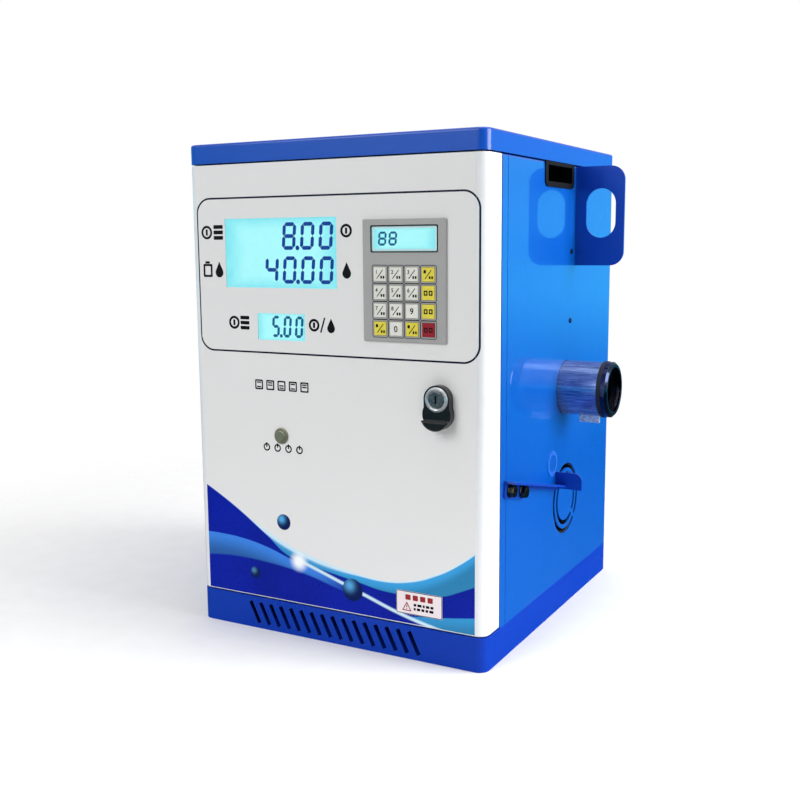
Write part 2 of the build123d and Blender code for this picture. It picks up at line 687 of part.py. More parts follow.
def panel_screws():
    """Pan-head screws of the cover's rear edge, the hook plate and the side."""
    screws = None
    for x in COVER_SCREW_X:
        one = rod_y(IN_BACK_Y - 4, BACK_Y + 1, x, BODY_TOP_Z - 15, SCREW_R)
        one += rod_y(BACK_Y, BACK_Y + 2.6, x, BODY_TOP_Z - 15, 4.8)
        screws = one if screws is None else screws + one
    for y, z in HOOK_SCREWS:
        x0 = HALF_W + 2.5
        screws += rod_x(IN_X - 4, x0 + 1, y, z, SCREW_R)
        screws += rod_x(x0, x0 + 2.6, y, z, 4.8)
    for y, z in SIDE_SCREWS:
        head = rod_x(HALF_W, HALF_W + 1.4, y, z, SCREW_R + 0.6)
        head = fillet(head.edges().filter_by(GeomType.CIRCLE).sort_by(Axis.X)[-1], 0.9)
        screws += rod_x(IN_X - 4, HALF_W + 1, y, z, SCREW_R) + head
    return screws


# ---- fan ---------------------------------------------------------------------
FAN_X = (IN_X - 25.0, IN_X)
FAN_R = 38.0


def fan_frame():
    """Square fan frame on the wall behind the vent, with a hub plate."""
    y, z = VENT_YZ
    side = 92.0
    frame = box(*FAN_X, y - side / 2, y + side / 2, z - side / 2, z + side / 2)
    frame = fillet(frame.edges().filter_by(Axis.X), 5)
    frame -= rod_x(FAN_X[0] - 1, FAN_X[1] + 1, y, z, FAN_R + 4)
    hub = rod_x(FAN_X[0], FAN_X[0] + 3, y, z, 19)
    for turn in (0, 120, 240):
        arm = box(FAN_X[0], FAN_X[0] + 3, -3, 3, 0, FAN_R + 7)
        hub += Pos(0, y, z) * Rot(turn, 0, 0) * arm
    return frame + hub - rod_x(FAN_X[0] - 1, FAN_X[0] + 4, y, z, 2 + RUN_GAP)


def fan_rotor():
    """Seven pitched blades on a hub with a short shaft."""
    y, z = VENT_YZ
    x0 = FAN_X[0] + 4
    x1 = FAN_X[1] - 3
    rotor = rod_x(x0, x1, y, z, 17)
    rotor += rod_x(FAN_X[0] + 0.3, x0 + 1, y, z, 2)
    blade_n = 7
    for i in range(blade_n):
        blade = box(-8, 8, -0.9, 0.9, 15, FAN_R)
        blade = Rot(0, 0, 38) * blade
        rotor += Pos((x0 + x1) / 2, y, z) * Rot(i * 360 / blade_n, 0, 0) * blade
    return rotor


# ---- pump, strainer and pipes ------------------------------------------------
PUMP_R = 55.0
PUMP_X = (84.0, 138.0)
ROTOR_R = 30.0
SHAFT_R = 7.0
MOTOR_X = (-86.0, 76.0)
MOTOR_R = 54.0
PORT_R = 14.0


def pump_motor():
    """Ribbed motor with feet, end bells and a terminal box."""
    _, y, z = PUMP_XYZ
    x0, x1 = MOTOR_X
    motor = rod_x(x0 + 14, x1 - 14, y, z, MOTOR_R - 4)
    for end in ((x0, x0 + 18), (x1 - 18, x1)):
        motor += rod_x(*end, y, z, MOTOR_R)
    rib_n = 24
    for i in range(rib_n):
        rib = box(x0 + 16, x1 - 16, -1, 1, MOTOR_R - 6, MOTOR_R)
        motor += Pos(0, y, z) * Rot(i * 360 / rib_n, 0, 0) * rib
    for foot_x in (x0 + 30, x1 - 46):
        motor += box(foot_x, foot_x + 16, y - 50, y + 50, SHEET, SHEET + 5)
        motor += box(foot_x, foot_x + 16, y - 24, y + 24, SHEET, z - MOTOR_R + 12)
    motor += box(x0 + 40, x0 + 110, y - 25, y + 25, z + MOTOR_R - 10, z + MOTOR_R + 22)
    return motor - rod_x(x1 - 30, x1 + 1, y, z, SHAFT_R + RUN_GAP)


def pump_body():
    """Round pump casting with a rotor chamber, ports and a spacer to the motor."""
    x, y, z = PUMP_XYZ
    body = rod_x(*PUMP_X, y, z, PUMP_R)
    body += rod_x(MOTOR_X[1], PUMP_X[0], y, z, 32)
    body += rod_z(z + 30, z + PUMP_R + 8, x, y, PORT_R + 7)
    body += rod_y(y + 30, y + PUMP_R + 8, x, z, PORT_R + 7)
    body += box(x - 20, x + 20, y - 22, y + 22, SHEET, z - 40)
    body -= rod_x(96, 126, y, z, ROTOR_R + 0.5)
    body -= rod_x(MOTOR_X[1] - 1, 134, y, z, SHAFT_R + RUN_GAP)
    body -= rod_z(z + 20, z + PUMP_R + 9, x, y, PORT_R)
    return body - rod_y(y + 20, y + PUMP_R + 9, x, z, PORT_R)


def pump_rotor():
    """Shaft with a vaned rotor."""
    _, y, z = PUMP_XYZ
    rotor = rod_x(MOTOR_X[1] - 29.5, 133, y, z, SHAFT_R)
    rotor += rod_x(96.5, 125.5, y, z, ROTOR_R - 6)
    for i in range(8):
        vane = box(96.5, 125.5, -1.5, 1.5, 10, ROTOR_R)
        rotor += Pos(0, y, z) * Rot(i * 45, 0, 0) * vane
    return rotor


def strainer():
    """Strainer pot between the pump and the barbed inlet through the back."""
    x, y, z = PUMP_XYZ
    face = y + PUMP_R + 8
    pot_y = face + 31
    pot = rod_z(z - 42, z + 34, x, pot_y, 28)
    pot += rod_z(z + 34, z + 42, x, pot_y, 31)
    pot += rod_y(face, pot_y, x, z, PORT_R + 5)
    pot += rod_y(pot_y, BACK_Y + 8, x, z, INLET_R)
    pot += rod_y(BACK_Y, BACK_Y + 6, x, z, INLET_R + 9)
    for i in range(4):
        y0 = BACK_Y + 8 + i * 6
        barb = Pos(x, y0 + 3, z) * Rot(-90, 0, 0) * Cone(INLET_R, INLET_R - 2.5, 6)
        pot += barb
    pot -= rod_z(z - 38, z + 32, x, pot_y, 24)
    pot -= rod_y(face - 1, pot_y, x, z, PORT_R - 1)
    return pot - rod_y(pot_y, BACK_Y + 40, x, z, INLET_BORE_R)


INLET_BORE_R = 12.5


def delivery_pipe():
    """Upright pipe from the pump to the meter with flanged ends."""
    x, y, z = PUMP_XYZ
    z0 = z + PUMP_R + 8
    z1 = METER_XYZ[2] - METER_HALF[2]
    pipe = rod_z(z0, z1, x, y, PORT_R)
    pipe += rod_z(z0, z0 + 7, x, y, PORT_R + 7)
    pipe += rod_z(z1 - 7, z1, x, y, PORT_R + 7)
    return pipe - rod_z(z0 - 1, z1 + 1, x, y, PORT_R - 4)


# ---- flow meter --------------------------------------------------------------
METER_HALF = (40.0, 50.0, 42.0)
GEAR_X = (98.0, 122.0)
GEAR_R = GEAR_MODULE * GEAR_TEETH / 2
AXLE_R = 3.0


def gear_outline(phase):
    """Closed involute outline, slightly thinned, as a list of points."""
    pressure = math.radians(20)
    base_r = GEAR_R * math.cos(pressure)
    tip_r = GEAR_R + 0.8 * GEAR_MODULE
    root_r = GEAR_R - 1.05 * GEAR_MODULE
    inv = math.tan(pressure) - pressure
    half = math.pi / (2 * GEAR_TEETH) + inv - 0.35 / GEAR_R
    radii = [max(base_r, root_r) + (tip_r - base_r) * k / 6 for k in range(7)]
    flank = []
    for r in radii:
        a = math.acos(min(1.0, base_r / r))
        flank.append((r, half - (math.tan(a) - a)))
    points = []
    for i in range(GEAR_TEETH):
        mid = phase + i * 2 * math.pi / GEAR_TEETH
        tooth = [(root_r, -flank[0][1])] + [(r, -a) for r, a in flank]
        tooth += [(r, a) for r, a in reversed(flank)] + [(root_r, flank[0][1])]
        points += [(r * math.cos(mid + a), r * math.sin(mid + a)) for r, a in tooth]
    return points


def gear_axes():
    """Y positions of the two meter gears."""
    half = GEAR_R + GEAR_SPREAD / 2
    return METER_XYZ[1] - half, METER_XYZ[1] + half


def meter_gear(index):
    """One measuring gear with its axle."""
    y = gear_axes()[index]
    z = METER_XYZ[2]
    phase = 0.0 if index == 0 else math.pi + math.pi / GEAR_TEETH
    outline = [Vector(GEAR_X[0], y + a, z + b) for a, b in gear_outline(phase)]
    face = Face(Wire.make_polygon(outline, close=True))
    gear = extrude(face, GEAR_X[1] - GEAR_X[0], dir=(1, 0, 0))
    return gear + rod_x(GEAR_X[0] - 8, GEAR_X[1] + 8, y, z, AXLE_R)


def meter_body():
    """Meter casting, open towards -X, with a chamber for both gears."""
    x, y, z = METER_XYZ
    hx, hy, hz = METER_HALF
    body = box(GEAR_X[0] - 0.5, x + hx, y - hy, y + hy, z - hz, z + hz)
    body = fillet(body.edges().filter_by(Axis.X), 8)
    tip = GEAR_R + GEAR_MODULE
    for gy in gear_axes():
        body -= rod_x(GEAR_X[0] - 1, GEAR_X[1] + 0.5, gy, z, tip)
        body -= rod_x(GEAR_X[1], GEAR_X[1] + 9, gy, z, AXLE_R + RUN_GAP)
    body -= rod_z(z - hz - 1, z - 10, x, PUMP_XYZ[1], 8)
    return body - rod_x(GEAR_X[1], x + hx + 1, y, z, 8)


def meter_cover():
    """Cover plate with the axle bearings and a pulse-sensor pod."""
    x, y, z = METER_XYZ
    hx, hy, hz = METER_HALF
    x1 = GEAR_X[0] - 0.5
    plate = box(x1 - 12, x1, y - hy, y + hy, z - hz, z + hz)
    plate = fillet(plate.edges().filter_by(Axis.X), 8)
    plate += rod_x(x1 - 34, x1 - 12, y, z + 8, 20)
    for gy in gear_axes():
        plate -= rod_x(x1 - 8.5, x1 + 1, gy, z, AXLE_R + RUN_GAP)
    return plate


# ---- electrics ---------------------------------------------------------------
SUPPLY_Z = HEIGHT - 314.0
BOARD_Z = HEIGHT - 234.0


def power_supply():
    """Perforated supply box on the left wall."""
    x0 = -IN_X
    case = box(x0, x0 + 42, -60, 100, SUPPLY_Z, SUPPLY_Z + 100)
    case = fillet(case.edges().filter_by(Axis.Y), 1.5)
    for i in range(9):
        for k in range(4):
            case -= rod_x(x0 + 38, x0 + 43, -40 + i * 15, SUPPLY_Z + 20 + k * 20, 3)
    return case


def control_board():
    """Controller board on four stand-offs against the back."""
    x0, x1, z0, z1 = -120.0, 60.0, BOARD_Z, BOARD_Z + 130
    y1 = IN_BACK_Y - 10
    board = box(x0, x1, y1 - 1.6, y1, z0, z1)
    for x in (x0 + 6, x1 - 6):
        for z in (z0 + 6, z1 - 6):
            board += rod_y(y1 - 0.5, IN_BACK_Y, x, z, 3)
    board += box(x0 + 20, x0 + 56, y1 - 20, y1 - 1, z0 + 20, z0 + 44)
    board += box(x0 + 100, x0 + 140, y1 - 6, y1 - 1, z0 + 50, z0 + 90)
    for i in range(5):
        board += box(x0 + 15 + i * 22, x0 + 31 + i * 22, y1 - 13, y1 - 1, z1 - 20, z1 - 6)
    for i in range(3):
        board += rod_y(y1 - 18, y1 - 1, x1 - 20, z0 + 20 + i * 22, 6)
    return board


def cable_gland():
    """Gland body with a hexagon nut on both sides of the back."""
    x, z = GLAND_XZ
    gland = rod_y(IN_BACK_Y - 9, BACK_Y + 20, x, z, GLAND_R)
    for y0, depth in ((BACK_Y, 6.0), (IN_BACK_Y - 5, 5.0), (BACK_Y + 9, 9.0)):
        gland += extrude(Plane.XZ.offset(-y0) * Pos(x, z) * RegularPolygon(14, 6), -depth)
    dome = rod_y(BACK_Y + 18, BACK_Y + 24, x, z, 9.5)
    gland += dome
    return gland - rod_y(IN_BACK_Y - 10, BACK_Y + 25, x, z, 5)


# ---- build -------------------------------------------------------------------
def build():
    """Every node by name."""
    nodes = {
        "base_tray": base_tray(),
        "body_shell": body_shell(),
        "side_panels": side_panels(),
        "top_cover": top_cover(),
        "door_panel": door_panel(),
        "front_film": front_film(),
        "hinge_body_leaves": hinge_leaf_pair(False),
        "hinge_door_leaves": hinge_leaf_pair(True),
        "panel_screws": panel_screws(),
        "display_lenses": display_lenses(),
        "main_display": lcd_module(MAIN_LCD, FRONT_Y + LENS_T, 12),
        "price_display": lcd_module(PRICE_LCD, FRONT_Y + LENS_T, 12),
        "info_label": info_label(),
        "keypad_bezel": keypad_bezel(),
        "keypad_board": keypad_board(),
        "keypad_lcd": keypad_lcd(),
        "power_button_body": power_button_body(),
        "power_button": power_button(),
        "lock_handle": lock_handle(),
        "lock_cylinder": lock_cylinder(),
        "lock_plug": lock_plug(),
        "lock_cam": lock_cam(),
        "carry_grips": carry_grips(),
        "nozzle_hook_plate": nozzle_hook_plate(),
        "rest_bracket": rest_bracket(),
        "rest_bolts": rest_bolts(),
        "outlet_tube": outlet_tube(),
        "outlet_seal": outlet_seal(),
        "outlet_ring": outlet_ring(),
        "earth_lug": earth_lug(),
        "fan_frame": fan_frame(),
        "fan_rotor": fan_rotor(),
        "pump_motor": pump_motor(),
        "pump_body": pump_body(),
        "pump_rotor": pump_rotor(),
        "strainer": strainer(),
        "delivery_pipe": delivery_pipe(),
        "meter_body": meter_body(),
        "meter_cover": meter_cover(),
        "meter_gear_a": meter_gear(0),
        "meter_gear_b": meter_gear(1),
        "power_supply": power_supply(),
        "control_board": control_board(),
        "cable_gland": cable_gland(),
    }
    for row, col, x, z in key_centres():
        nodes[f"key_r{row + 1}c{col + 1}"] = key_cap(x, z)
    return nodes


os.makedirs("parts", exist_ok=True)
for node, solid in build().items():
    save(node, solid)
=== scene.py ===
import bmesh
import bpy
import json
import math
from mathutils import Matrix, Vector


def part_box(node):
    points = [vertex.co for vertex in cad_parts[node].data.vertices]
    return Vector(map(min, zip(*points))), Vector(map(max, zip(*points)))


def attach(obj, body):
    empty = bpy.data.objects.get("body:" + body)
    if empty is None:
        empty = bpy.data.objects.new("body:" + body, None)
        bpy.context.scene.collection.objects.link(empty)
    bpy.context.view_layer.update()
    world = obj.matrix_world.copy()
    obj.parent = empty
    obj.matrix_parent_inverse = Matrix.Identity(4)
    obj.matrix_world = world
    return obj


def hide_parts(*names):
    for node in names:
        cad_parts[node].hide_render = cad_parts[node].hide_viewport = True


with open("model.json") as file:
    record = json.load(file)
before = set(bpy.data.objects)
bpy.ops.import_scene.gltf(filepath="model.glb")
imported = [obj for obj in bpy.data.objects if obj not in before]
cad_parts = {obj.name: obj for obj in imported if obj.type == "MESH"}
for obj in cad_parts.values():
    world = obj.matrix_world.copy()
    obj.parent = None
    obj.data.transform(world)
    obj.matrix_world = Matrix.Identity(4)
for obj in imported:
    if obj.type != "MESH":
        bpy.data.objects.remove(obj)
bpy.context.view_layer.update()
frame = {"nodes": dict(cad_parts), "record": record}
nodes = frame["nodes"]
MM = 0.001  # metres in a millimetre


def centre(node):
    low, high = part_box(node)
    return (low + high) / 2


def mid_mm(node):
    """Centre of a node's box in millimetres."""
    return centre(node) * 1000


# ---- camera --------------------------------------------------------------------
CAMERA_TURN = (28.62, -8.64, 0.44)  # yaw, pitch and roll in degrees
CAMERA_AT = (0.6101, -1.1588, 0.4525)
LENS, SENSOR = 46.757, 36.0  # millimetres


def add_camera():
    yaw, pitch, roll = (math.radians(a) for a in CAMERA_TURN)
    turn = Matrix.Rotation(yaw, 3, "Z") @ Matrix.Rotation(pitch, 3, "X") @ Matrix.Rotation(roll, 3, "Y")
    right, ahead, up = turn.col[0], turn.col[1], turn.col[2]
    data = bpy.data.cameras.new("camera")
    data.lens = LENS
    data.sensor_width = SENSOR
    cam = bpy.data.objects.new("camera", data)
    rows = [(r, u, -a, at) for r, u, a, at in zip(right, up, ahead, CAMERA_AT)]
    cam.matrix_world = Matrix(rows + [(0, 0, 0, 1)])
    bpy.context.scene.collection.objects.link(cam)
    bpy.context.scene.camera = cam


# ---- material graphs -------------------------------------------------------------
def lin(r, g, b):
    """Linear colour from 0-255 display values."""
    out = []
    for c in (r, g, b):
        c = c / 255
        out.append(c / 12.92 if c <= 0.04045 else ((c + 0.055) / 1.055) ** 2.4)
    return (*out, 1.0)


def shade(colour, k, add=0.0):
    return (*(min(1.0, c * k + add) for c in colour[:3]), 1.0)


class Graph:
    """A material's node tree with short calls for the nodes used here."""

    def __init__(self, name):
        self.mat = bpy.data.materials.new(name)
        self.mat.use_nodes = True
        self.tree = self.mat.node_tree
        self.tree.nodes.clear()
        self.out = self.add("ShaderNodeOutputMaterial")
        self.bsdf = self.add("ShaderNodeBsdfPrincipled")
        self.tree.links.new(self.bsdf.outputs[0], self.out.inputs[0])
        self.coord = None

    def add(self, kind, **props):
        node = self.tree.nodes.new(kind)
        for key, value in props.items():
            setattr(node, key, value)
        return node

    def put(self, socket, value):
        if isinstance(value, bpy.types.NodeSocket):
            self.tree.links.new(value, socket)
        else:
            socket.default_value = value

    def set(self, **values):
        for key, value in values.items():
            self.put(self.bsdf.inputs[key.replace("_", " ")], value)

    def place(self):
        if self.coord is None:
            self.coord = self.add("ShaderNodeTexCoord").outputs["Object"]
        return self.coord

    def xyz(self):
        split = self.add("ShaderNodeSeparateXYZ")
        self.put(split.inputs[0], self.place())
        return split.outputs

    def math(self, op, a, b=0.0, c=0.0):
        node = self.add("ShaderNodeMath", operation=op)
        for socket, value in zip(node.inputs, (a, b, c)):
            self.put(socket, value)
        return node.outputs[0]

    def plus(self, a, b):
        return self.math("ADD", a, b)

    def minus(self, a, b):
        return self.math("SUBTRACT", a, b)

    def times(self, a, b):
        return self.math("MULTIPLY", a, b)

    def size(self, a):
        return self.math("ABSOLUTE", a)

    def length(self, a, b):
        return self.math("SQRT", self.plus(self.times(a, a), self.times(b, b)))

    def in_mm(self, a):
        return self.times(a, 1000.0)

    def ramp(self, value, lo, hi, a=0.0, b=1.0, smooth=True):
        node = self.add("ShaderNodeMapRange", clamp=True)
        node.interpolation_type = "SMOOTHSTEP" if smooth else "LINEAR"
        for i, v in enumerate((value, lo, hi, a, b)):
            self.put(node.inputs[i], v)
        return node.outputs[0]

    def mix(self, fac, a, b):
        """Colour a where fac is 0 and b where it is 1."""
        node = self.add("ShaderNodeMix", data_type="RGBA")
        self.put(node.inputs[0], fac)
        self.put(node.inputs[6], a)
        self.put(node.inputs[7], b)
        return node.outputs[2]

    def stretched(self, scale):
        node = self.add("ShaderNodeMapping")
        self.put(node.inputs["Vector"], self.place())
        node.inputs["Scale"].default_value = scale
        return node.outputs[0]

    def noise(self, scale, detail=4.0, rough=0.5, at=None):
        node = self.add("ShaderNodeTexNoise")
        self.put(node.inputs["Vector"], at or self.place())
        node.inputs["Scale"].default_value = scale
        node.inputs["Detail"].default_value = detail
        node.inputs["Roughness"].default_value = rough
        return node.outputs["Fac"]

    def cells(self, scale):
        node = self.add("ShaderNodeTexVoronoi", feature="F1")
        self.put(node.inputs["Vector"], self.place())
        node.inputs["Scale"].default_value = scale
        return node.outputs[0]

    def rounded(self, radius):
        node = self.add("ShaderNodeBevel", samples=4)
        node.inputs["Radius"].default_value = radius
        return node.outputs[0]

    def edges(self, radius):
        """Near 1 on sharp edges, 0 on flats, broken up by noise."""
        dot = self.add("ShaderNodeVectorMath", operation="DOT_PRODUCT")
        self.put(dot.inputs[0], self.rounded(radius))
        self.put(dot.inputs[1], self.add("ShaderNodeNewGeometry").outputs["Normal"])
        away = self.minus(1.0, dot.outputs["Value"])
        return self.times(self.ramp(away, 0.06, 0.3), self.ramp(self.noise(160, 5, 0.6), 0.35, 0.65))

    def bump(self, height, strength, distance, radius=0.0):
        node = self.add("ShaderNodeBump")
        node.inputs["Strength"].default_value = strength
        node.inputs["Distance"].default_value = distance
        self.put(node.inputs["Height"], height)
        if radius:
            self.put(node.inputs["Normal"], self.rounded(radius))
        self.put(self.bsdf.inputs["Normal"], node.outputs[0])


def painted(name, rgb, rough=0.3, coat=0.5, peel=0.0, ring=None, ruled=False):
    """Powder coat on sheet metal: faint mottling, slow waves or orange peel, paler edges that are partly
    worn paint and partly a painted highlight.

    ring is the y, z and two radii in millimetres of a pressed ring painted paler, partly thin paint and
    partly a painted highlight; ruled adds the printed frame line.
    """
    g = Graph(name)
    base = lin(*rgb)
    tone = g.mix(g.ramp(g.noise(5, 3, 0.5), 0.3, 0.7), shade(base, 0.97), shade(base, 1.03))
    tone = g.mix(g.ramp(g.noise(70, 4, 0.6), 0.35, 0.7, 0.0, 0.6), tone, shade(base, 1.05))
    if ring:
        # the pressed ring is painted paler: partly thin paint, partly a painted highlight on its rim
        tone = g.mix(g.times(pressed_ring_highlight(g, *ring), 0.6), tone, shade(base, 1.5, 0.04))
    # edges painted paler: partly worn paint, partly a painted highlight along edges and fillets
    tone = g.mix(g.times(g.edges(0.0012), 0.55), tone, shade(base, 1.5, 0.06))
    if ruled:
        tone = g.mix(g.times(ruled_line(g), facing_front(g)), tone, LINE)
    g.set(Base_Color=tone, Coat_Weight=coat, Coat_Roughness=0.03, Specular_IOR_Level=0.25)
    g.set(Roughness=g.ramp(g.noise(9, 2, 0.5), 0.3, 0.7, rough * 0.9, rough * 1.15, smooth=False))
    if peel:
        g.bump(g.noise(300, 2, 0.5), peel, 0.0004, 0.0008)
    else:
        g.bump(g.noise(16, 1, 0.4), 0.25, 0.0015)
    return g.mat


def pressed_ring_highlight(g, y, z, inner, outer):
    """1 on the pressed ring of the right side, painted paler: partly thin paint and partly a painted
    highlight.
    """
    x, py, pz = g.xyz()
    r = g.length(g.minus(g.in_mm(py), y), g.minus(g.in_mm(pz), z))
    off = g.size(g.minus(r, (inner + outer) / 2))
    half_w, soft = (outer - inner) / 2, 0.6
    band = g.ramp(off, half_w - soft, half_w + soft, 1.0, 0.0)
    return g.times(band, g.ramp(x, 0.0, 0.01))


def metal(name, rgb, rough=0.3, kind="brushed", along=(1, 1, 1), metallic=1.0):
    """Bare metal: brushed lines, machined rings or a cast skin."""
    g = Graph(name)
    base = lin(*rgb)
    if kind == "cast":
        grain = g.plus(g.noise(650, 4, 0.7), g.times(g.cells(420), 0.6))
        depth, size = 0.55, 0.0006
    elif kind == "polished":
        grain = g.noise(300, 3, 0.5)
        depth, size = 0.03, 0.0003
    else:
        grain = g.noise(60, 6, 0.75, g.stretched(along))
        depth, size = 0.10, 0.0003
    stain = g.ramp(g.noise(24, 6, 0.65), 0.35, 0.75)
    tone = g.mix(g.ramp(grain, 0.3, 0.8), shade(base, 0.82), shade(base, 1.08))
    tone = g.mix(g.times(stain, 0.35), tone, shade(base, 0.62))
    tone = g.mix(g.times(g.edges(0.0008), 0.6), tone, shade(base, 1.35, 0.05))
    g.set(Base_Color=tone, Metallic=metallic)
    g.set(Roughness=g.ramp(grain, 0.2, 0.9, rough * 0.7, rough * 1.45))
    g.bump(grain, depth, size, 0.0005)
    return g.mat


def plastic(name, rgb, rough=0.4, grain=0.25, scale=1400, coat=0.0, wear=0.5, spec=0.3):
    """Moulded plastic: fine spark-eroded grain, handling marks, soft edges."""
    g = Graph(name)
    base = lin(*rgb)
    marks = g.ramp(g.noise(45, 6, 0.7), 0.45, 0.8)
    tone = g.mix(marks, base, shade(base, 1.18, 0.008 * wear))
    tone = g.mix(g.times(g.edges(0.0007), wear), tone, shade(base, 1.5, 0.03))
    g.set(Base_Color=tone, Coat_Weight=coat, Coat_Roughness=0.08, Specular_IOR_Level=spec)
    g.set(Roughness=g.ramp(marks, 0.0, 1.0, rough, rough * 1.3))
    g.bump(g.noise(scale, 3, 0.6), grain, 0.0003, 0.0005)
    return g.mat


def tube_material():
    """Blue-black anodised tube drawn lengthwise, with painted shade in the bore."""
    g = Graph("tube_anodised_coat")
    mid = centre("outlet_tube")
    _, y, z = g.xyz()
    # inside is 1 in the bore, where shade is painted
    inside = g.ramp(g.length(g.minus(y, mid.y), g.minus(z, mid.z)), 0.0285, 0.0298, 1.0, 0.0)
    streak = g.noise(60, 5, 0.7, g.stretched((0.6, 14, 14)))
    tone = g.mix(g.ramp(streak, 0.3, 0.72), lin(84, 100, 138), lin(176, 196, 222))
    tone = g.mix(g.times(g.edges(0.0008), 0.5), tone, lin(206, 220, 238))
    # painted shade: the bore is coloured near black and made less metallic
    g.set(Base_Color=g.mix(inside, tone, lin(14, 17, 30)))
    g.set(Metallic=g.ramp(inside, 0.0, 1.0, 0.85, 0.3))
    g.set(Roughness=g.ramp(streak, 0.2, 0.9, 0.13, 0.26))
    g.bump(streak, 0.04, 0.0003, 0.0005)
    return g.mat


# ---- printed film -----------------------------------------------------------------
# Curves are points (x, z) in millimetres: the upper or lower border of a printed shape.
NAVY = lin(0, 24, 146)
MID = lin(52, 118, 205)
LIGHT = lin(52, 150, 208)
PALE = lin(205, 232, 246)
FILM = lin(229, 229, 229)
LINE = lin(6, 6, 38)
OUTER = ((-190, 175), (-145.6, 152.7), (-101, 127), (-56.7, 107), (-34, 100.4), (-1, 92.7), (32, 87.6),
         (65.6, 84.9), (99, 89.3), (132, 101.6), (156.7, 116), (190, 143))
NAVY_TOP = ((-190, 175), (-134, 145), (-90, 116), (-56.7, 93.8), (-10, 84.5), (32, 78), (65.6, 72.7),
            (100, 73), (139, 78), (156.7, 85), (190, 101))
LOW_RIGHT = ((-190, 30), (60, 35), (95, 47.5), (139, 53.8), (190, 62))
LEFT_TOP = ((-190, 109.3), (-156.7, 109.8), (-123, 107.6), (-90, 101.6), (-56.7, 91.6), (-20, 83), (30, 67))
LEFT_LOW = ((-190, 79), (-156.7, 83.8), (-123, 84.9), (-90, 83.3), (-56.7, 80), (-23, 73.8), (-1, 68),
            (40, 58))
STREAK = ((-190, 130), (-45.6, 91.6), (38.9, 65), (85.6, 50.4), (134.4, 39.3), (190, 30))
FIELD = (-190.0, 190.0, 30.0, 200.0)  # lowest x, highest x, lowest z and highest z of the curves
# centre x, centre z and radius of each printed ball, and how bright its lit side is
BALLS = ((-65.6, 134.4, 9.3, 0.9), (26.0, 67.6, 13.0, 0.8), (-107.8, 68.2, 7.0, 0.45))
# middle x, middle z, half width, half height and corner radius of the printed frame line
FRAME_LINE = (2.0, 416.5, 178.0, 86.5, 18.0)


def ruled_line(g):
    """1 on the thin rounded frame line printed round the displays and keypad."""
    px, _, pz = g.xyz()
    mid_x, mid_z, half_w, half_h, corner = FRAME_LINE
    qx = g.minus(g.size(g.minus(g.in_mm(px), mid_x)), half_w - corner)
    qz = g.minus(g.size(g.minus(g.in_mm(pz), mid_z)), half_h - corner)
    out = g.length(g.math("MAXIMUM", qx, 0.0), g.math("MAXIMUM", qz, 0.0))
    deep = g.math("MINIMUM", g.math("MAXIMUM", qx, qz), 0.0)
    reach = g.size(g.minus(g.plus(out, deep), corner))
    return g.ramp(reach, 0.85, 1.2, 1.0, 0.0)


def facing_front(g):
    """1 where the surface faces the front of its own body, whatever the pose."""
    facing = g.add("ShaderNodeSeparateXYZ")
    g.put(facing.inputs[0], g.add("ShaderNodeTexCoord").outputs["Normal"])
    return g.ramp(facing.outputs[1], -0.6, -0.3, 1.0, 0.0)


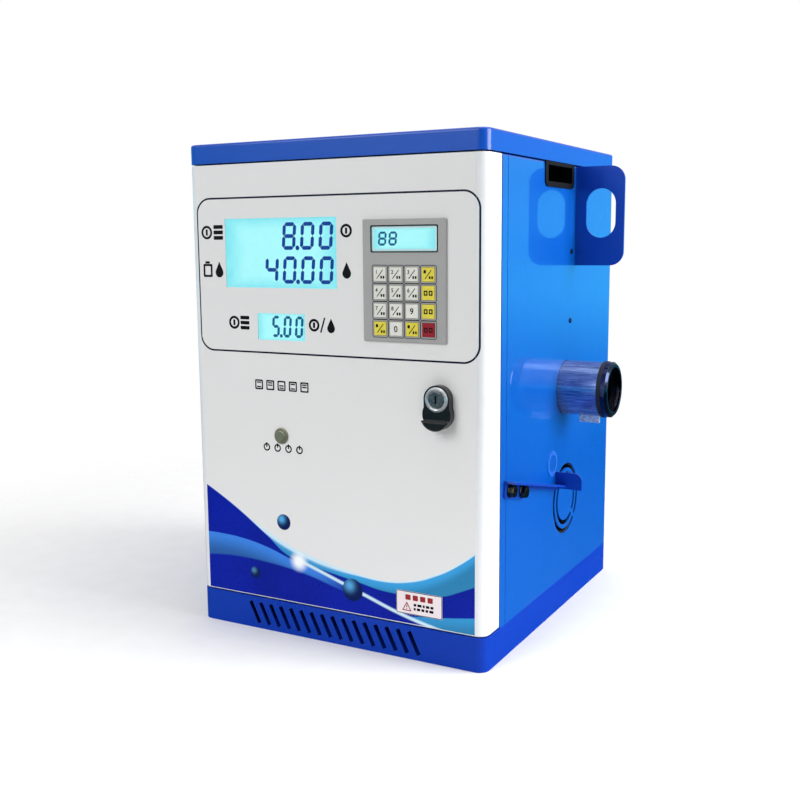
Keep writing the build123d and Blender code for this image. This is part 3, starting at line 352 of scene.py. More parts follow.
def film_material():
    """Grey-white film with a ruled frame and a band of blue waves along its foot."""
    g = Graph("printed_film_print")
    px, _, pz = g.xyz()
    x, z = g.in_mm(px), g.in_mm(pz)
    left, right, foot, top = FIELD
    u = g.ramp(x, left, right, smooth=False)

    def height(points):
        curve = g.add("ShaderNodeFloatCurve")
        line = curve.mapping.curves[0]
        spots = []
        for a, b in points:
            rise = (b - foot) / (top - foot)
            spots.append(((a - left) / (right - left), min(1.0, max(0.0, rise))))
        spots.sort()
        line.points[0].location = spots[0]
        line.points[-1].location = spots[-1]
        for spot in spots[1:-1]:
            line.points.new(*spot)
        curve.mapping.update()
        g.put(curve.inputs["Value"], u)
        return g.math("MULTIPLY_ADD", curve.outputs[0], top - foot, foot)

    def below(points, soft=0.8):
        gap = g.minus(height(points), z)
        return gap, g.ramp(gap, -soft / 2, soft / 2)

    def radius(cx, cz):
        return g.length(g.minus(x, cx), g.minus(z, cz))

    outer_gap, inside = below(OUTER)
    swirl = g.ramp(g.noise(16, 3, 0.5), 0.3, 0.7)
    navy = g.mix(swirl, NAVY, shade(NAVY, 1.25))
    band = g.mix(g.ramp(outer_gap, 3.0, 17.0), shade(LIGHT, 1.15), shade(LIGHT, 0.72))
    edge_w = g.ramp(g.size(g.plus(x, 50.0)), 20.0, 110.0, 6.5, 2.2)
    band = g.mix(g.ramp(g.math("DIVIDE", outer_gap, edge_w), 0.45, 1.15), PALE, band)
    _, in_navy = below(NAVY_TOP, 1.4)
    art = g.mix(in_navy, band, navy)
    left_gap, left_in = below(LEFT_TOP, 1.2)
    _, left_out = below(LEFT_LOW, 3.0)
    fade = g.ramp(x, -30.0, 34.0, 1.0, 0.0)
    left_mask = g.times(g.times(left_in, g.minus(1.0, left_out)), fade)
    art = g.mix(left_mask, art, g.mix(g.ramp(left_gap, 0.0, 24.0), shade(MID, 1.25), shade(MID, 0.62)))
    streak_gap, under_streak = below(STREAK, 1.0)
    right_gap, right_in = below(LOW_RIGHT, 1.0)
    right_mask = g.times(right_in, g.minus(1.0, under_streak))
    art = g.mix(right_mask, art, g.mix(g.ramp(right_gap, 0.0, 16.0), LIGHT, shade(LIGHT, 0.7)))
    on_right = g.ramp(x, -60.0, -30.0)
    core = g.ramp(g.size(streak_gap), 0.6, 3.2, 1.0, 0.0)
    art = g.mix(g.times(core, on_right), art, PALE)
    art = g.mix(g.ramp(radius(-45.6, 90.4), 3.0, 15.0, 1.0, 0.0), art, lin(248, 252, 255))
    film = g.mix(g.ramp(g.noise(1100, 2, 0.6), 0.42, 0.6), shade(FILM, 0.985), FILM)
    colour = g.mix(inside, film, art)
    for cx, cz, r, lit in BALLS:
        ball = g.ramp(radius(cx, cz), r - 0.4, r + 0.4, 1.0, 0.0)
        glint = g.ramp(radius(cx - 0.32 * r, cz + 0.36 * r), 0.05 * r, 1.35 * r, 1.0, 0.0)
        glint = g.math("POWER", glint, 2.6)
        colour = g.mix(ball, colour, g.mix(glint, lin(6, 26, 84), shade(LIGHT, lit * 1.3, 0.05)))
    colour = g.mix(ruled_line(g), colour, LINE)
    colour = g.mix(facing_front(g), FILM, colour)
    g.set(Base_Color=colour, Specular_IOR_Level=0.2)
    g.set(Roughness=g.ramp(g.noise(400, 3, 0.6), 0.3, 0.7, 0.27, 0.32))
    g.bump(g.noise(1500, 2, 0.5), 0.06, 0.0002)
    return g.mat


def lcd_material(name):
    """Backlit cyan display: brighter middle and a faint cell grid, dark board behind."""
    g = Graph(name)
    lo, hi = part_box(name)
    x, y, z = g.xyz()
    mid = (lo + hi) / 2
    behind = g.ramp(y, lo.y + 0.0003, lo.y + 0.0006)
    side = g.size(g.math("DIVIDE", g.minus(x, mid.x), (hi.x - lo.x) / 2))
    rise = g.size(g.math("DIVIDE", g.minus(z, mid.z), (hi.z - lo.z) / 2))
    fall = g.ramp(g.math("MAXIMUM", side, rise), 0.55, 1.0)
    cyan = g.mix(fall, lin(174, 251, 252), lin(128, 228, 238))
    cell = 9000.0  # radians in a metre of the cell grid
    grid = g.math("MAXIMUM", g.math("SINE", g.times(x, cell)), g.math("SINE", g.times(z, cell)))
    cyan = g.mix(g.ramp(grid, 0.9, 1.0, 0.0, 0.12), cyan, lin(90, 200, 215))
    cyan = g.mix(g.ramp(g.noise(50, 3, 0.5), 0.35, 0.7, 0.0, 0.15), cyan, lin(200, 255, 255))
    board = g.mix(g.ramp(g.noise(160, 4, 0.6), 0.4, 0.6), lin(14, 58, 38), lin(24, 84, 52))
    face = g.mix(0.62, cyan, lin(20, 80, 90))
    g.set(Base_Color=g.mix(behind, face, board), Emission_Color=g.mix(behind, cyan, (0, 0, 0, 1)))
    g.set(Emission_Strength=0.66, Specular_IOR_Level=0.2)
    g.set(Roughness=g.ramp(g.noise(200, 3, 0.5), 0.3, 0.7, 0.25, 0.4))
    return g.mat


def lens_material():
    """Thin tinted pane that lets nearly all of the display through."""
    g = Graph("clear_lens_pane")
    haze = g.ramp(g.noise(90, 5, 0.6), 0.3, 0.8)
    g.set(Base_Color=g.mix(haze, lin(110, 190, 200), lin(90, 170, 184)), Alpha=0.03)
    g.set(Roughness=g.ramp(haze, 0.0, 1.0, 0.03, 0.09))
    return g.mat


def board_material():
    """Solder mask with copper tracks."""
    g = Graph("board_solder_mask")
    x, _, z = g.xyz()
    wave = g.times(g.noise(70, 1, 0.4), 6.0)
    step = g.math("FLOOR", g.times(wave, 2.0))
    track = g.math("SINE", g.plus(g.times(x, 1800.0), step))
    cross = g.math("SINE", g.plus(g.times(z, 1500.0), g.math("FLOOR", wave)))
    lines = g.ramp(g.math("MAXIMUM", track, cross), 0.90, 0.97)
    tone = g.mix(lines, lin(14, 74, 40), lin(36, 118, 62))
    pads = g.ramp(g.cells(260), 0.10, 0.13, 1.0, 0.0)
    tone = g.mix(pads, tone, lin(190, 188, 176))
    g.set(Base_Color=tone, Coat_Weight=0.3)
    g.set(Roughness=g.ramp(lines, 0.0, 1.0, 0.32, 0.45))
    g.bump(lines, 0.3, 0.0002)
    return g.mat


def paper_material(name, rgb):
    """Coated paper with a faint fibre."""
    rough = 0.45
    g = Graph(name)
    base = lin(*rgb)
    fibre = g.noise(900, 4, 0.6)
    g.set(Base_Color=g.mix(g.ramp(fibre, 0.35, 0.7), shade(base, 0.97), base), Coat_Weight=0.2)
    g.set(Roughness=g.ramp(fibre, 0.3, 0.7, rough * 0.9, rough * 1.15))
    g.bump(fibre, 0.05, 0.0001)
    return g.mat


def ink_material(name, rgb, rough=0.5):
    """Screen-printed ink, a little uneven."""
    g = Graph(name)
    base = lin(*rgb)
    grain = g.noise(700, 4, 0.6)
    g.set(Base_Color=g.mix(g.ramp(grain, 0.4, 0.75), base, shade(base, 1.15, 0.002)))
    g.set(Specular_IOR_Level=0.12)
    g.set(Roughness=g.ramp(grain, 0.3, 0.7, rough * 0.85, rough * 1.15))
    return g.mat


def rubber_material(name):
    """Matt black rubber, dusty in patches."""
    g = Graph(name)
    dust = g.ramp(g.noise(60, 6, 0.7), 0.4, 0.8)
    g.set(Base_Color=g.mix(dust, lin(16, 16, 19), lin(38, 38, 42)))
    g.set(Roughness=g.ramp(dust, 0.0, 1.0, 0.55, 0.8))
    g.bump(g.noise(1200, 3, 0.6), 0.3, 0.0003, 0.0006)
    return g.mat


BLUE_BASE = painted("blue_base_coat", (0, 54, 170), coat=0.3)
BLUE_BODY = painted("blue_body_coat", (0, 88, 186), coat=1.0, ring=(-8.0, 190.0, 10.5, 15.5))
BLUE_COVER = painted("blue_cover_coat", (0, 72, 180), coat=0.35)
BLUE_FIT = painted("blue_fittings_coat", (6, 62, 172), coat=0.5)
WHITE_DOOR = painted("white_door_coat", (226, 228, 231), rough=0.35, coat=0.4, ruled=True)
PAD_GREY = painted("pad_grey_coat", (164, 164, 164), rough=0.5, coat=0.0, peel=0.15)
TUBE = tube_material()
STEEL = metal("satin_steel", (178, 180, 184), 0.32, along=(1, 1, 12))
ZINC = metal("zinc_plate", (196, 197, 202), 0.35, "cast")
CHROME = metal("chrome_plate", (222, 224, 228), 0.2, "polished", metallic=0.6)
CORE = metal("lock_core_steel", (120, 120, 122), 0.28, "polished", metallic=0.8)
BRASS = metal("passivated_bolt", (84, 80, 60), 0.22, "polished")
# dark metal for the small screws, much darker than bare steel
DARK_SCREW_METAL = metal("dark_screw_metal", (34, 38, 52), 0.35, "polished")
END_RING = metal("end_ring_metal", (58, 64, 88), 0.12, "polished")
# dark thread metal: painted shade inside the outlet's bore
BORE_SHADE_THREAD = metal("thread_painted_shade_metal", (44, 48, 62), 0.2, "polished")
LUG = metal("lug_plate", (214, 220, 230), 0.3, "polished", metallic=0.4)
BUTTON = metal("button_steel", (150, 148, 124), 0.34, along=(12, 1, 1), metallic=0.55)
IRON = metal("cast_iron_skin", (96, 98, 102), 0.5, "cast", metallic=0.7)
ALLOY = metal("cast_alloy_skin", (170, 172, 176), 0.42, "cast")
GROUND = metal("ground_steel", (188, 190, 194), 0.22, along=(1, 14, 14))
MOTOR = painted("motor_enamel", (84, 104, 132), rough=0.4, coat=0.1, peel=0.3)
BLACK_GLOSS = plastic("lock_black_plastic", (20, 20, 22), 0.28, 0.12, coat=0.3)
BLACK_MATT = plastic("grip_black_plastic", (5, 5, 7), 0.6, 0.3, 900, wear=0.1, spec=0.12)
BLACK_FAN = plastic("fan_black_plastic", (24, 24, 26), 0.45, 0.3)
KEY_WHITE = plastic("key_white_plastic", (226, 226, 218), 0.36, 0.12)
KEY_YELLOW = plastic("key_yellow_plastic", (224, 210, 72), 0.36, 0.12)
KEY_RED = plastic("key_red_plastic", (150, 24, 36), 0.36, 0.12)
RUBBER = rubber_material("seal_black_rubber")
INK = ink_material("black_ink", (5, 5, 9))
SEGMENTS = ink_material("lcd_segment_dark", (2, 52, 152), 0.35)
SEGMENTS_TEAL = ink_material("lcd_segment_teal", (0, 92, 142), 0.35)
RED_INK = ink_material("red_ink", (150, 40, 44))
LABEL = paper_material("label_paper", (242, 230, 233))
PALE_RIM = ink_material("lcd_pale_rim", (214, 240, 244), 0.4)
GASKET = ink_material("key_gasket_black", (14, 14, 16), 0.6)
BOARD = board_material()

MATERIAL_OF_SLOT = {
    "blue_base": BLUE_BASE, "blue_body": BLUE_BODY, "blue_cover": BLUE_COVER, "white_door": WHITE_DOOR,
    "hinge_steel": STEEL, "screw_steel": DARK_SCREW_METAL, "label_print": LABEL, "pad_grey": PAD_GREY,
    "board_green": BOARD, "button_ring": BUTTON, "button_cap": BUTTON, "lock_black": BLACK_GLOSS,
    "lock_chrome": CHROME, "lock_core": CORE, "cam_steel": ZINC, "grip_black": BLACK_MATT,
    "blue_fittings": BLUE_FIT, "bolt_brass": BRASS, "tube_metal": TUBE, "seal_rubber": RUBBER,
    "ring_chrome": END_RING, "lug_zinc": LUG, "fan_black": BLACK_FAN, "fan_blades": BLACK_FAN,
    "motor_paint": MOTOR, "pump_iron": IRON, "rotor_steel": GROUND, "strainer_alloy": ALLOY,
    "pipe_steel": STEEL, "meter_alloy": ALLOY, "gear_steel": GROUND, "supply_case": ZINC,
    "gland_black": BLACK_MATT, "key_white": KEY_WHITE, "key_yellow": KEY_YELLOW, "key_red": KEY_RED,
    "printed_film": film_material(), "clear_lens": lens_material(),
}


def finish_nodes():
    """Gives each CAD node the material of its slot; a display's follows its own size."""
    slots = {part["node"]: part["material_slot"] for part in frame["record"]["subparts"]}
    for name, obj in nodes.items():
        slot = slots[name]
        if slot == "lcd_face":
            mat = lcd_material(name)
        else:
            mat = MATERIAL_OF_SLOT[slot]
        obj.data.materials.clear()
        obj.data.materials.append(mat)


# ---- mesh building -----------------------------------------------------------------
# Outlines are (x, z) points in millimetres; depths along y are in metres.
def finish_mesh(bm, name):
    bmesh.ops.recalc_face_normals(bm, faces=bm.faces)
    mesh = bpy.data.meshes.new(name)
    bm.to_mesh(mesh)
    bm.free()
    return mesh


def new_piece(name, bm, mat, body, smooth=False):
    mesh = finish_mesh(bm, name)
    for poly in mesh.polygons:
        poly.use_smooth = smooth
    mesh.materials.append(mat)
    obj = bpy.data.objects.new(name, mesh)
    bpy.context.scene.collection.objects.link(obj)
    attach(obj, body)
    return obj


def add_plate(bm, outline, y0, y1):
    """Closed prism of an outline between two depths."""
    front = [bm.verts.new((x * MM, y0, z * MM)) for x, z in outline]
    back = [bm.verts.new((x * MM, y1, z * MM)) for x, z in outline]
    n = len(outline)
    bm.faces.new(front)
    bm.faces.new(back[::-1])
    for i in range(n):
        bm.faces.new((front[i], back[i], back[(i + 1) % n], front[(i + 1) % n]))


def add_band(bm, outer, inner, y0, y1):
    """Closed ring prism between two outlines with the same number of points."""
    rows = [[bm.verts.new((x * MM, y, z * MM)) for x, z in ring]
            for ring in (outer, inner) for y in (y0, y1)]
    n = len(outer)
    for i in range(n):
        k = (i + 1) % n
        bm.faces.new((rows[0][i], rows[0][k], rows[2][k], rows[2][i]))
        bm.faces.new((rows[1][i], rows[3][i], rows[3][k], rows[1][k]))
        bm.faces.new((rows[0][i], rows[1][i], rows[1][k], rows[0][k]))
        bm.faces.new((rows[2][i], rows[2][k], rows[3][k], rows[3][i]))


def rounded_rect(cx, cz, w, h, r, n=5):
    """Rectangle with corners of radius r, each drawn in n steps."""
    pts = []
    for sx, sz, a0 in ((1, 1, 0), (-1, 1, 90), (-1, -1, 180), (1, -1, 270)):
        for i in range(n + 1):
            a = math.radians(a0 + 90 * i / n)
            pts.append((cx + sx * (w / 2 - r) + r * math.cos(a), cz + sz * (h / 2 - r) + r * math.sin(a)))
    return pts


def circle(cx, cz, r, n=28):
    angles = [2 * math.pi * i / n for i in range(n)]
    return [(cx + r * math.cos(a), cz + r * math.sin(a)) for a in angles]


def bar(x0, z0, x1, z1, t):
    """Outline of a straight stroke between two points."""
    d = Vector((x1 - x0, z1 - z0)).normalized() * t / 2
    return [(x0 - d.y, z0 + d.x), (x0 + d.y, z0 - d.x), (x1 + d.y, z1 - d.x), (x1 - d.y, z1 + d.x)]


# ---- display figures ------------------------------------------------------------------
SEGMENTS_ON = {
    "0": "abcdef", "1": "bc", "2": "abged", "3": "abgcd", "4": "fgbc",
    "5": "afgcd", "6": "afgedc", "7": "abc", "8": "abcdefg", "9": "abcdfg",
}
LEAN = 0.08  # how far a figure leans sideways for its height
SEGMENT_GAP = 0.06  # space at each end of a bar, as a share of its width
SEGMENT_T = 0.08 * MM  # thickness of the bars
POINT_R, POINT_SIDES = 0.62, 14  # decimal point: radius as a share of the bar width, and its sides
FACE_TO_FIGURES = 0.96 * MM  # from the film's face back to the large figures
# name, text, display, end and foot from its centre, width, height, bar width, pitch and ink
FIGURE_ROWS = (
    ("digits_total", "8.00", "main_display", 68.5, 3.5, 17.8, 30, 4.2, 24, SEGMENTS),
    ("digits_volume", "40.00", "main_display", 68.5, -33.5, 17.8, 30, 4.2, 24, SEGMENTS),
    ("digits_price", "5.00", "price_display", 28, -11.5, 10.6, 24, 3.2, 15.6, SEGMENTS_TEAL),
    ("digits_grade", "88", "keypad_lcd", -9, -7, 9.8, 14.5, 2.3, 12.5, SEGMENTS_TEAL),
)


def segment_outlines(digit, x, z, w, h, t):
    """Bevelled bars of one seven-segment figure, its lower left corner at x, z."""
    gap, half = t * SEGMENT_GAP, t / 2
    left, right = x + half, x + w - half
    low, middle, high = z + half, z + h / 2, z + h - half
    lying = {"a": high, "g": middle, "d": low}
    upright = {
        "f": (left, middle, high), "b": (right, middle, high),
        "e": (left, low, middle), "c": (right, low, middle),
    }
    shapes = []
    for seg in SEGMENTS_ON[digit]:
        c, a, b = (lying[seg], left, right) if seg in lying else upright[seg]
        side = half if seg in lying else -half
        a, b = a + gap, b - gap
        pts = [(a, c), (a + half, c + side), (b - half, c + side),
               (b, c), (b - half, c - side), (a + half, c - side)]
        if seg in upright:
            pts = [(q, p) for p, q in pts]
        shapes.append([(px + (pz - z) * LEAN, pz) for px, pz in pts])
    return shapes


def digits_piece(name, text, x, z, w, h, t, pitch, y, mat):
    """A row of display figures whose last one ends at x, with its back at depth y."""
    bm = bmesh.new()
    left = x - (sum(c.isdigit() for c in text) - 1) * pitch - w
    k = 0
    for c in text:
        at = left + k * pitch
        if c == ".":
            shapes = [circle(at - (pitch - w) / 2, z + t / 2, t * POINT_R, POINT_SIDES)]
        else:
            shapes = segment_outlines(c, at, z, w, h, t)
            k += 1
        for shape in shapes:
            add_plate(bm, shape, y - SEGMENT_T, y)
    new_piece(name, bm, mat, "door")


def display_figures():
    pad_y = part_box("keypad_lcd")[0].y - 0.02 * MM
    film_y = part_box("front_film")[0].y + FACE_TO_FIGURES
    for name, text, display, end, foot, w, h, t, pitch, mat in FIGURE_ROWS:
        mid = mid_mm(display)
        y = pad_y if display == "keypad_lcd" else film_y
        digits_piece(name, text, mid.x + end, mid.z + foot, w, h, t, pitch, y, mat)


# ---- front of the door ----------------------------------------------------------------
# display, width and height of its clear pane
PANES = (("main_display", 149, 77), ("price_display", 64, 30), ("keypad_lcd", 77, 26))
PANE_PLAY = 0.3
FILM_INK = 0.06 * MM  # how far the pictograms stand off the film


def clear_windows():
    """Three clear panes with softened edges, just off the displays behind them."""
    bm = bmesh.new()
    for display, w, h in PANES:
        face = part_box("keypad_bezel" if display == "keypad_lcd" else "front_film")[0].y
        mid = mid_mm(display)
        outline = rounded_rect(mid.x, mid.z, w - PANE_PLAY, h - PANE_PLAY, 0.8, 3)
        add_plate(bm, outline, face + 0.1 * MM, face + 0.75 * MM)
    piece = new_piece("clear_windows", bm, MATERIAL_OF_SLOT["clear_lens"], "door")
    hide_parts("display_lenses")


def drop(cx, cz, h):
    """Teardrop outline, a generic sign for fuel."""
    r = h * 0.31
    low = cz - h / 2 + r
    first, sweep, steps = -215, 250, 24  # the round foot, in degrees
    pts = []
    for i in range(steps + 1):
        a = math.radians(first + sweep * i / steps)
        pts.append((cx + r * math.cos(a), low + r * math.sin(a)))
    pts.append((cx, cz + h / 2))
    return pts


def icon_piece():
    """Plain pictograms beside the displays: coins, cans, drops, stacks and slips."""
    bm = bmesh.new()
    film_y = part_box("front_film")[0].y
    depths = (film_y - FILM_INK, film_y)

    def plate(points):
        add_plate(bm, points, *depths)

    def ring(points, inner):
        add_band(bm, points, inner, *depths)

    def coin(cx, cz, d):
        ring(circle(cx, cz, d / 2), circle(cx, cz, d / 2 - 2.7))
        plate(bar(cx, cz - d * 0.22, cx, cz + d * 0.22, 2.8))

    def can(cx, cz, h):
        w, mid_z, lid_z = h * 0.72, cz - 1.2, cz + h / 2 - 1
        ring(rounded_rect(cx, mid_z, w, h - 3, 1.6), rounded_rect(cx, mid_z, w - 5.0, h - 8.0, 0.6))
        plate(bar(cx - h * 0.2, lid_z, cx + h * 0.16, lid_z, 2.6))

    def stack(cx, cz, h):
        for k in range(3):
            plate(rounded_rect(cx, cz + (k - 1) * h * 0.36, h * 0.78, h * 0.25, 0.8))

    main = mid_mm("main_display")
    row1, row2 = main.z + 23.5, main.z - 18.5
    column1, column2, column3 = main.x - 100.5, main.x - 84, main.x + 87
    coin(column1, row1, 15.5)
    stack(column2, row1, 17)
    coin(column3, row1, 14.5)
    can(column1, row2, 18)
    plate(drop(column2, row2, 18))
    plate(drop(column3, row2, 17.5))
    price = mid_mm("price_display")
    row3 = price.z + 3.5
    coin(price.x - 65, row3, 15)
    stack(price.x - 50, row3, 16)
    coin(price.x + 44, row3, 14)
    plate(bar(price.x + 52.5, price.z - 4.5, price.x + 58, price.z + 12, 1.9))
    plate(drop(price.x + 66, row3, 16))
    slips, slip_pitch, slip_z = 5, 15.5, price.z - 66.5
    for k in range(slips):
        cx = price.x - 32.5 + k * slip_pitch
        ring(rounded_rect(cx, slip_z, 11, 11.5, 1.4), rounded_rect(cx, slip_z, 7.6, 8.1, 0.8))
        for j in range(-1, 2):
            if (j + k) % 3:
                plate(bar(cx - 3, slip_z + j * 2.6, cx + 3, slip_z + j * 2.6, 1.5))
    button = mid_mm("power_button")
    dials, dial_pitch, dial_z = 4, 15, button.z - 14.5
    for k in range(dials):
        cx = button.x - 21 + k * dial_pitch
        ring(circle(cx, dial_z, 4.6, 20), circle(cx, dial_z, 2.9, 20))
        plate(bar(cx, dial_z + 0.4 * (k % 2), cx, dial_z + 5.4, 1.7))
    new_piece("film_pictograms", bm, INK, "door")


# ---- keypad -----------------------------------------------------------------------
KEY_ROWS = KEY_COLUMNS = range(1, 5)
PLAIN_KEYS = {(3, 3): "9", (4, 2): "0"}
BLOCK_KEYS = {(2, 4), (3, 4), (4, 4)}
GASKET_PROUD = 0.12 * MM
TYPE_EXTRUDE, TYPE_BOLD = 0.00003, 0.018  # half thickness in metres, and boldness as a share of size


def pad_ring(bm, mid, outer, inner, r, y0, y1):
    """Rounded frame around mid between two sizes (width, height)."""
    rings = [rounded_rect(mid.x, mid.z, w, h, k) for (w, h), k in ((outer, r), (inner, r * 0.7))]
    add_band(bm, *rings, y0, y1)


def key_surrounds():
    """Thin black gaskets that outline the keys, and the frame of the small display."""
    bm = bmesh.new()
    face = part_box("keypad_bezel")[0].y
    for r in KEY_ROWS:
        for c in KEY_COLUMNS:
            key = f"key_r{r}c{c}"
            low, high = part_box(key)
            size = (high.x - low.x) * 1000
            pad_ring(bm, mid_mm(key), (size + 1.5,) * 2, (size + 0.2,) * 2, 2.5,
                     face - GASKET_PROUD, face + 0.6 * MM)
    mid = mid_mm("keypad_lcd")
    pad_ring(bm, mid, (79.2, 28.2), (76.6, 25.6), 1.6, face - GASKET_PROUD, face + 0.4 * MM)
    new_piece("key_gaskets", bm, GASKET, "door")
    bm = bmesh.new()
    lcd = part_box("keypad_lcd")[0].y
    pad_ring(bm, mid, (76.4, 25.4), (72.2, 21.2), 1.0, lcd - 0.06 * MM, lcd + 0.02 * MM)
    new_piece("lcd_pale_rim", bm, PALE_RIM, "door")


def text_mesh(text, size):
    """A figure from the built-in typeface, flat in x-z, facing the front."""
    curve = bpy.data.curves.new("figure", "FONT")
    curve.body = text
    curve.size = size
    curve.extrude = TYPE_EXTRUDE
    curve.offset = size * TYPE_BOLD
    holder = bpy.data.objects.new("figure", curve)
    bpy.context.scene.collection.objects.link(holder)
    bpy.context.view_layer.update()
    mesh = bpy.data.meshes.new_from_object(holder.evaluated_get(bpy.context.evaluated_depsgraph_get()))
    bpy.data.objects.remove(holder)
    mesh.transform(Matrix.Rotation(math.radians(90), 4, "X"))
    return mesh


def key_legend(r, c):
    """Small digit, slash and two blocks on most keys; a plain digit or blocks on the rest."""
    key = f"key_r{r}c{c}"
    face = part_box(key)[0].y
    mid = mid_mm(key)
    depths = (face - 0.05 * MM, face + 0.01 * MM)
    bm = bmesh.new()

    def plate(points):
        add_plate(bm, points, *depths)

    def figure(text, size, x, z):
        mesh = text_mesh(text, size * MM)
        mesh.transform(Matrix.Translation((x * MM, face - 0.02 * MM, z * MM)))
        bm.from_mesh(mesh)
        bpy.data.meshes.remove(mesh)

    if (r, c) in PLAIN_KEYS:
        figure(PLAIN_KEYS[r, c], 8.8, mid.x - 2.4, mid.z - 3.0)
    elif (r, c) in BLOCK_KEYS:
        for side in (-1, 1):
            pad_ring(bm, mid + Vector((side * 2.9, 0, 0)), (4.4, 5.2), (1.8, 2.6), 0.6, *depths)
    else:
        if c < 4 and r < 4:
            figure(str(3 * r + c - 3), 5.8, mid.x - 5.4, mid.z + 0.4)
        else:
            plate(rounded_rect(mid.x - 3.8, mid.z + 2.8, 2.8, 3.4, 0.5, 2))
        plate(bar(mid.x - 3.6, mid.z - 4.6, mid.x + 3.8, mid.z + 4.6, 0.9))
        for k in range(2):
            plate(rounded_rect(mid.x + 1.9 + 2.8 * k, mid.z - 3.2, 2.0, 3.0, 0.4, 2))
    ink = GASKET if (r, c) == (4, 4) else INK
    new_piece(f"legend_r{r}c{c}", bm, ink, key)


# ---- label ------------------------------------------------------------------------
LABEL_SINK = 0.01 * MM  # how far the prints reach into the label
BLOCK_WIDTHS = (3.2, 5.0, 2.4, 4.2, 3.6)  # blocks that stand for a line of print
BLOCK_GAP, LINE_PITCH = 1.4, 4.6


def label_marks():
    """Generic header blocks, a plain triangle sign, a border and two lines of blocks."""
    low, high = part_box("info_label")
    face = low.y
    mid = mid_mm("info_label")
    w, h = (high.x - low.x) * 1000, (high.z - low.z) * 1000

    def piece(name, mat, shapes, lift):
        bm = bmesh.new()
        for points in shapes:
            add_plate(bm, points, face - lift * MM, face + LABEL_SINK)
        new_piece(name, bm, mat, "door")

    blocks = [rounded_rect(mid.x - 13.5 + 9 * k, mid.z + 6.2, 6.4, 6.0, 0.8) for k in range(4)]
    piece("label_header", RED_INK, blocks, 0.03)
    x, z = mid.x - 15, mid.z - 4.6
    piece("label_sign", RED_INK, [[(x - 5.8, z - 4.8), (x + 5.8, z - 4.8), (x, z + 5.8)]], 0.03)
    piece("label_sign_field", LABEL, [[(x - 4.0, z - 3.7), (x + 4.0, z - 3.7), (x, z + 3.5)]], 0.045)
    bm = bmesh.new()
    for stroke in (bar(x, z - 1.2, x, z + 1.9, 1.0), circle(x, z - 2.6, 0.6, 10)):
        add_plate(bm, stroke, face - 0.06 * MM, face)
    depths = (face - 0.05 * MM, face + LABEL_SINK)
    border = [rounded_rect(mid.x, mid.z, w - inset, h - inset, r) for inset, r in ((0.4, 1.5), (1.8, 1.0))]
    add_band(bm, *border, *depths)
    for row in range(2):
        left = mid.x - 6.5
        for k in range(len(BLOCK_WIDTHS)):
            block_w = BLOCK_WIDTHS[(k + 2 * row) % len(BLOCK_WIDTHS)]
            block_z = mid.z - 1.6 - LINE_PITCH * row
            add_plate(bm, rounded_rect(left + block_w / 2, block_z, block_w, 2.9, 0.3, 2), *depths)
            left += block_w + BLOCK_GAP
    new_piece("label_print_marks", bm, INK, "door")


# ---- right side --------------------------------------------------------------------
def outlet_thread():
    """Internal thread just inside the open end of the outlet."""
    mid = centre("outlet_ring")
    bore = 27.0 * MM
    turns, steps, pitch, depth, set_back = 6, 48, 1.6 * MM, 0.9 * MM, 3.0 * MM
    root, half_foot = bore + 0.1 * MM, 0.42 * pitch
    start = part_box("outlet_ring")[1].x - (turns * pitch + set_back)
    bm = bmesh.new()
    rows = []
    for i in range(turns * steps + 1):
        a = 2 * math.pi * i / steps
        x = start + pitch * i / steps
        taper = min(1.0, i / steps, (turns * steps - i) / steps) * depth
        profile = ((-half_foot, root), (0.0, bore - taper), (half_foot, root))
        rows.append([bm.verts.new((x + dx, mid.y + r * math.cos(a), mid.z + r * math.sin(a)))
                     for dx, r in profile])
    for a, b in zip(rows, rows[1:]):
        for k in range(2):
            bm.faces.new((a[k], a[k + 1], b[k + 1], b[k]))
        bm.faces.new((a[2], a[0], b[0], b[2]))
    bm.faces.new(rows[0])
    bm.faces.new(rows[-1][::-1])
    # the thread's dark colour is painted shade in the bore
    new_piece("outlet_thread", bm, BORE_SHADE_THREAD, "enclosure", True)


# ---- stage ---------------------------------------------------------------------------
FLOOR_R, FLOOR_DROP = 1.6, 0.0002
WHITE, SOFT_FILL = (1, 1, 1, 1), (0.30, 0.30, 0.30, 1)
# what polished faces reflect, from straight down (0) to straight up (1)
STUDIO_STOPS = (
    (0.0, (0.12, 0.12, 0.13)), (0.34, (0.03, 0.08, 0.11)), (0.40, (0.005, 0.02, 0.05)),
    (0.445, (0.03, 0.22, 0.34)), (0.475, (0.10, 0.74, 0.92)), (0.535, (0.12, 0.62, 0.80)),
    (0.62, (0.34, 0.36, 0.38)), (0.8, (0.66, 0.66, 0.66)),
)
# name, place, size and power of each lamp; all look at AIM
LAMPS = (
    ("key", (-0.9, -2.4, 1.7), 1.8, 44),
    ("side", (2.4, 0.5, 1.0), 1.8, 95),
    ("top", (0.2, 0.3, 2.4), 2.0, 24),
)
AIM = Vector((0, 0, 0.28))


def add_floor():
    """Pale round floor that fades out into the background."""
    bm = bmesh.new()
    bm.faces.new([bm.verts.new((x, y, -FLOOR_DROP)) for x, y in circle(0, 0, FLOOR_R, 96)])
    floor = bpy.data.objects.new("floor", finish_mesh(bm, "floor"))
    bpy.context.scene.collection.objects.link(floor)
    floor.visible_glossy = False
    g = Graph("floor_paper")
    px, py, _ = g.xyz()
    g.set(Base_Color=g.mix(g.ramp(g.noise(30, 3, 0.5), 0.3, 0.7), lin(250, 250, 250), lin(253, 253, 253)))
    g.set(Roughness=g.ramp(g.noise(60, 3, 0.5), 0.3, 0.7, 0.7, 0.8), Specular_IOR_Level=0.1)
    g.set(Alpha=g.ramp(g.length(px, py), 0.42, 1.1, 1.0, 0.0))
    floor.data.materials.append(g.mat)


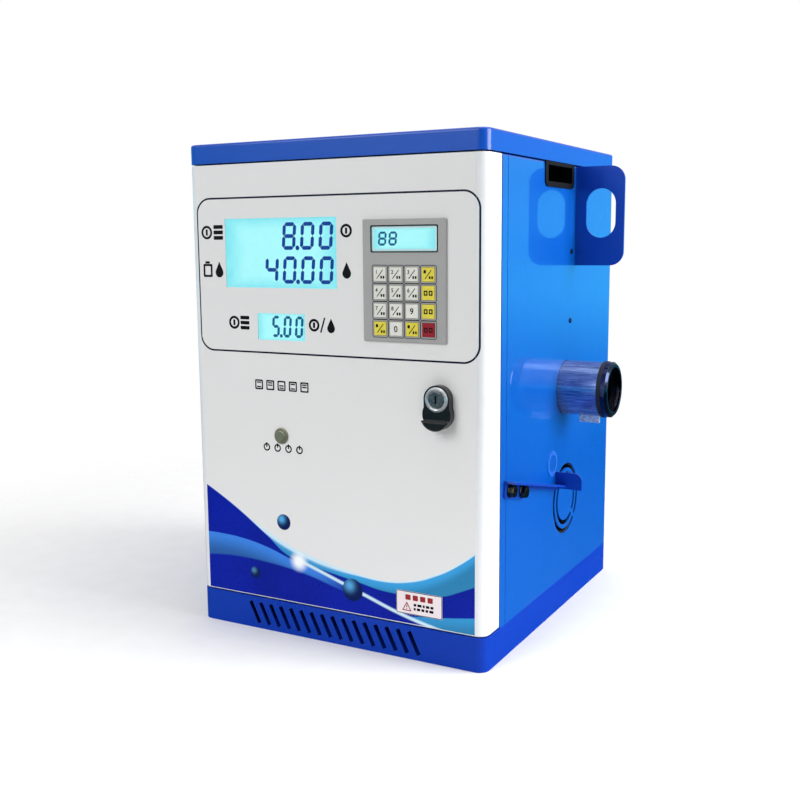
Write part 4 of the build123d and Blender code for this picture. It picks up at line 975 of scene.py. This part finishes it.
def add_world():
    """White behind the object, a tinted horizon in reflections and a soft grey fill."""
    world = bpy.data.worlds.new("studio")
    bpy.context.scene.world = world
    world.use_nodes = True
    tree = world.node_tree
    tree.nodes.clear()
    add, link = tree.nodes.new, tree.links.new

    def background(colour):
        node = add("ShaderNodeBackground")
        if isinstance(colour, bpy.types.NodeSocket):
            link(colour, node.inputs[0])
        else:
            node.inputs[0].default_value = colour
        return node.outputs[0]

    def choose(ray, other, chosen):
        node = add("ShaderNodeMixShader")
        for socket, value in zip(node.inputs, (ray, other, chosen)):
            link(value, socket)
        return node.outputs[0]

    split = add("ShaderNodeSeparateXYZ")
    link(add("ShaderNodeTexCoord").outputs["Generated"], split.inputs[0])
    height = add("ShaderNodeMapRange")
    link(split.outputs[2], height.inputs[0])
    for i, value in enumerate((-1.0, 1.0, 0.0, 1.0), 1):
        height.inputs[i].default_value = value
    ramp = add("ShaderNodeValToRGB")
    link(height.outputs[0], ramp.inputs[0])
    elements = ramp.color_ramp.elements
    while len(elements) < len(STUDIO_STOPS):
        elements.new(0.5)
    for element, (at, level) in zip(elements, STUDIO_STOPS):
        element.position = at
        element.color = (*level, 1)
    ray = add("ShaderNodeLightPath").outputs
    room = choose(ray["Is Glossy Ray"], background(SOFT_FILL), background(ramp.outputs[0]))
    link(choose(ray["Is Camera Ray"], room, background(WHITE)), add("ShaderNodeOutputWorld").inputs[0])


def add_lamps():
    for name, spot, size, power in LAMPS:
        light = bpy.data.lights.new(name, "AREA")
        light.size = size
        light.energy = power
        lamp = bpy.data.objects.new(name, light)
        lamp.location = spot
        lamp.rotation_euler = (AIM - Vector(spot)).to_track_quat("-Z", "Y").to_euler()
        bpy.context.scene.collection.objects.link(lamp)


view = bpy.context.scene.view_settings
view.view_transform = "Standard"
view.look = "None"
add_camera()
finish_nodes()
clear_windows()
display_figures()
icon_piece()
key_surrounds()
for row in KEY_ROWS:
    for column in KEY_COLUMNS:
        key_legend(row, column)
label_marks()
outlet_thread()
add_floor()
add_world()
add_lamps()
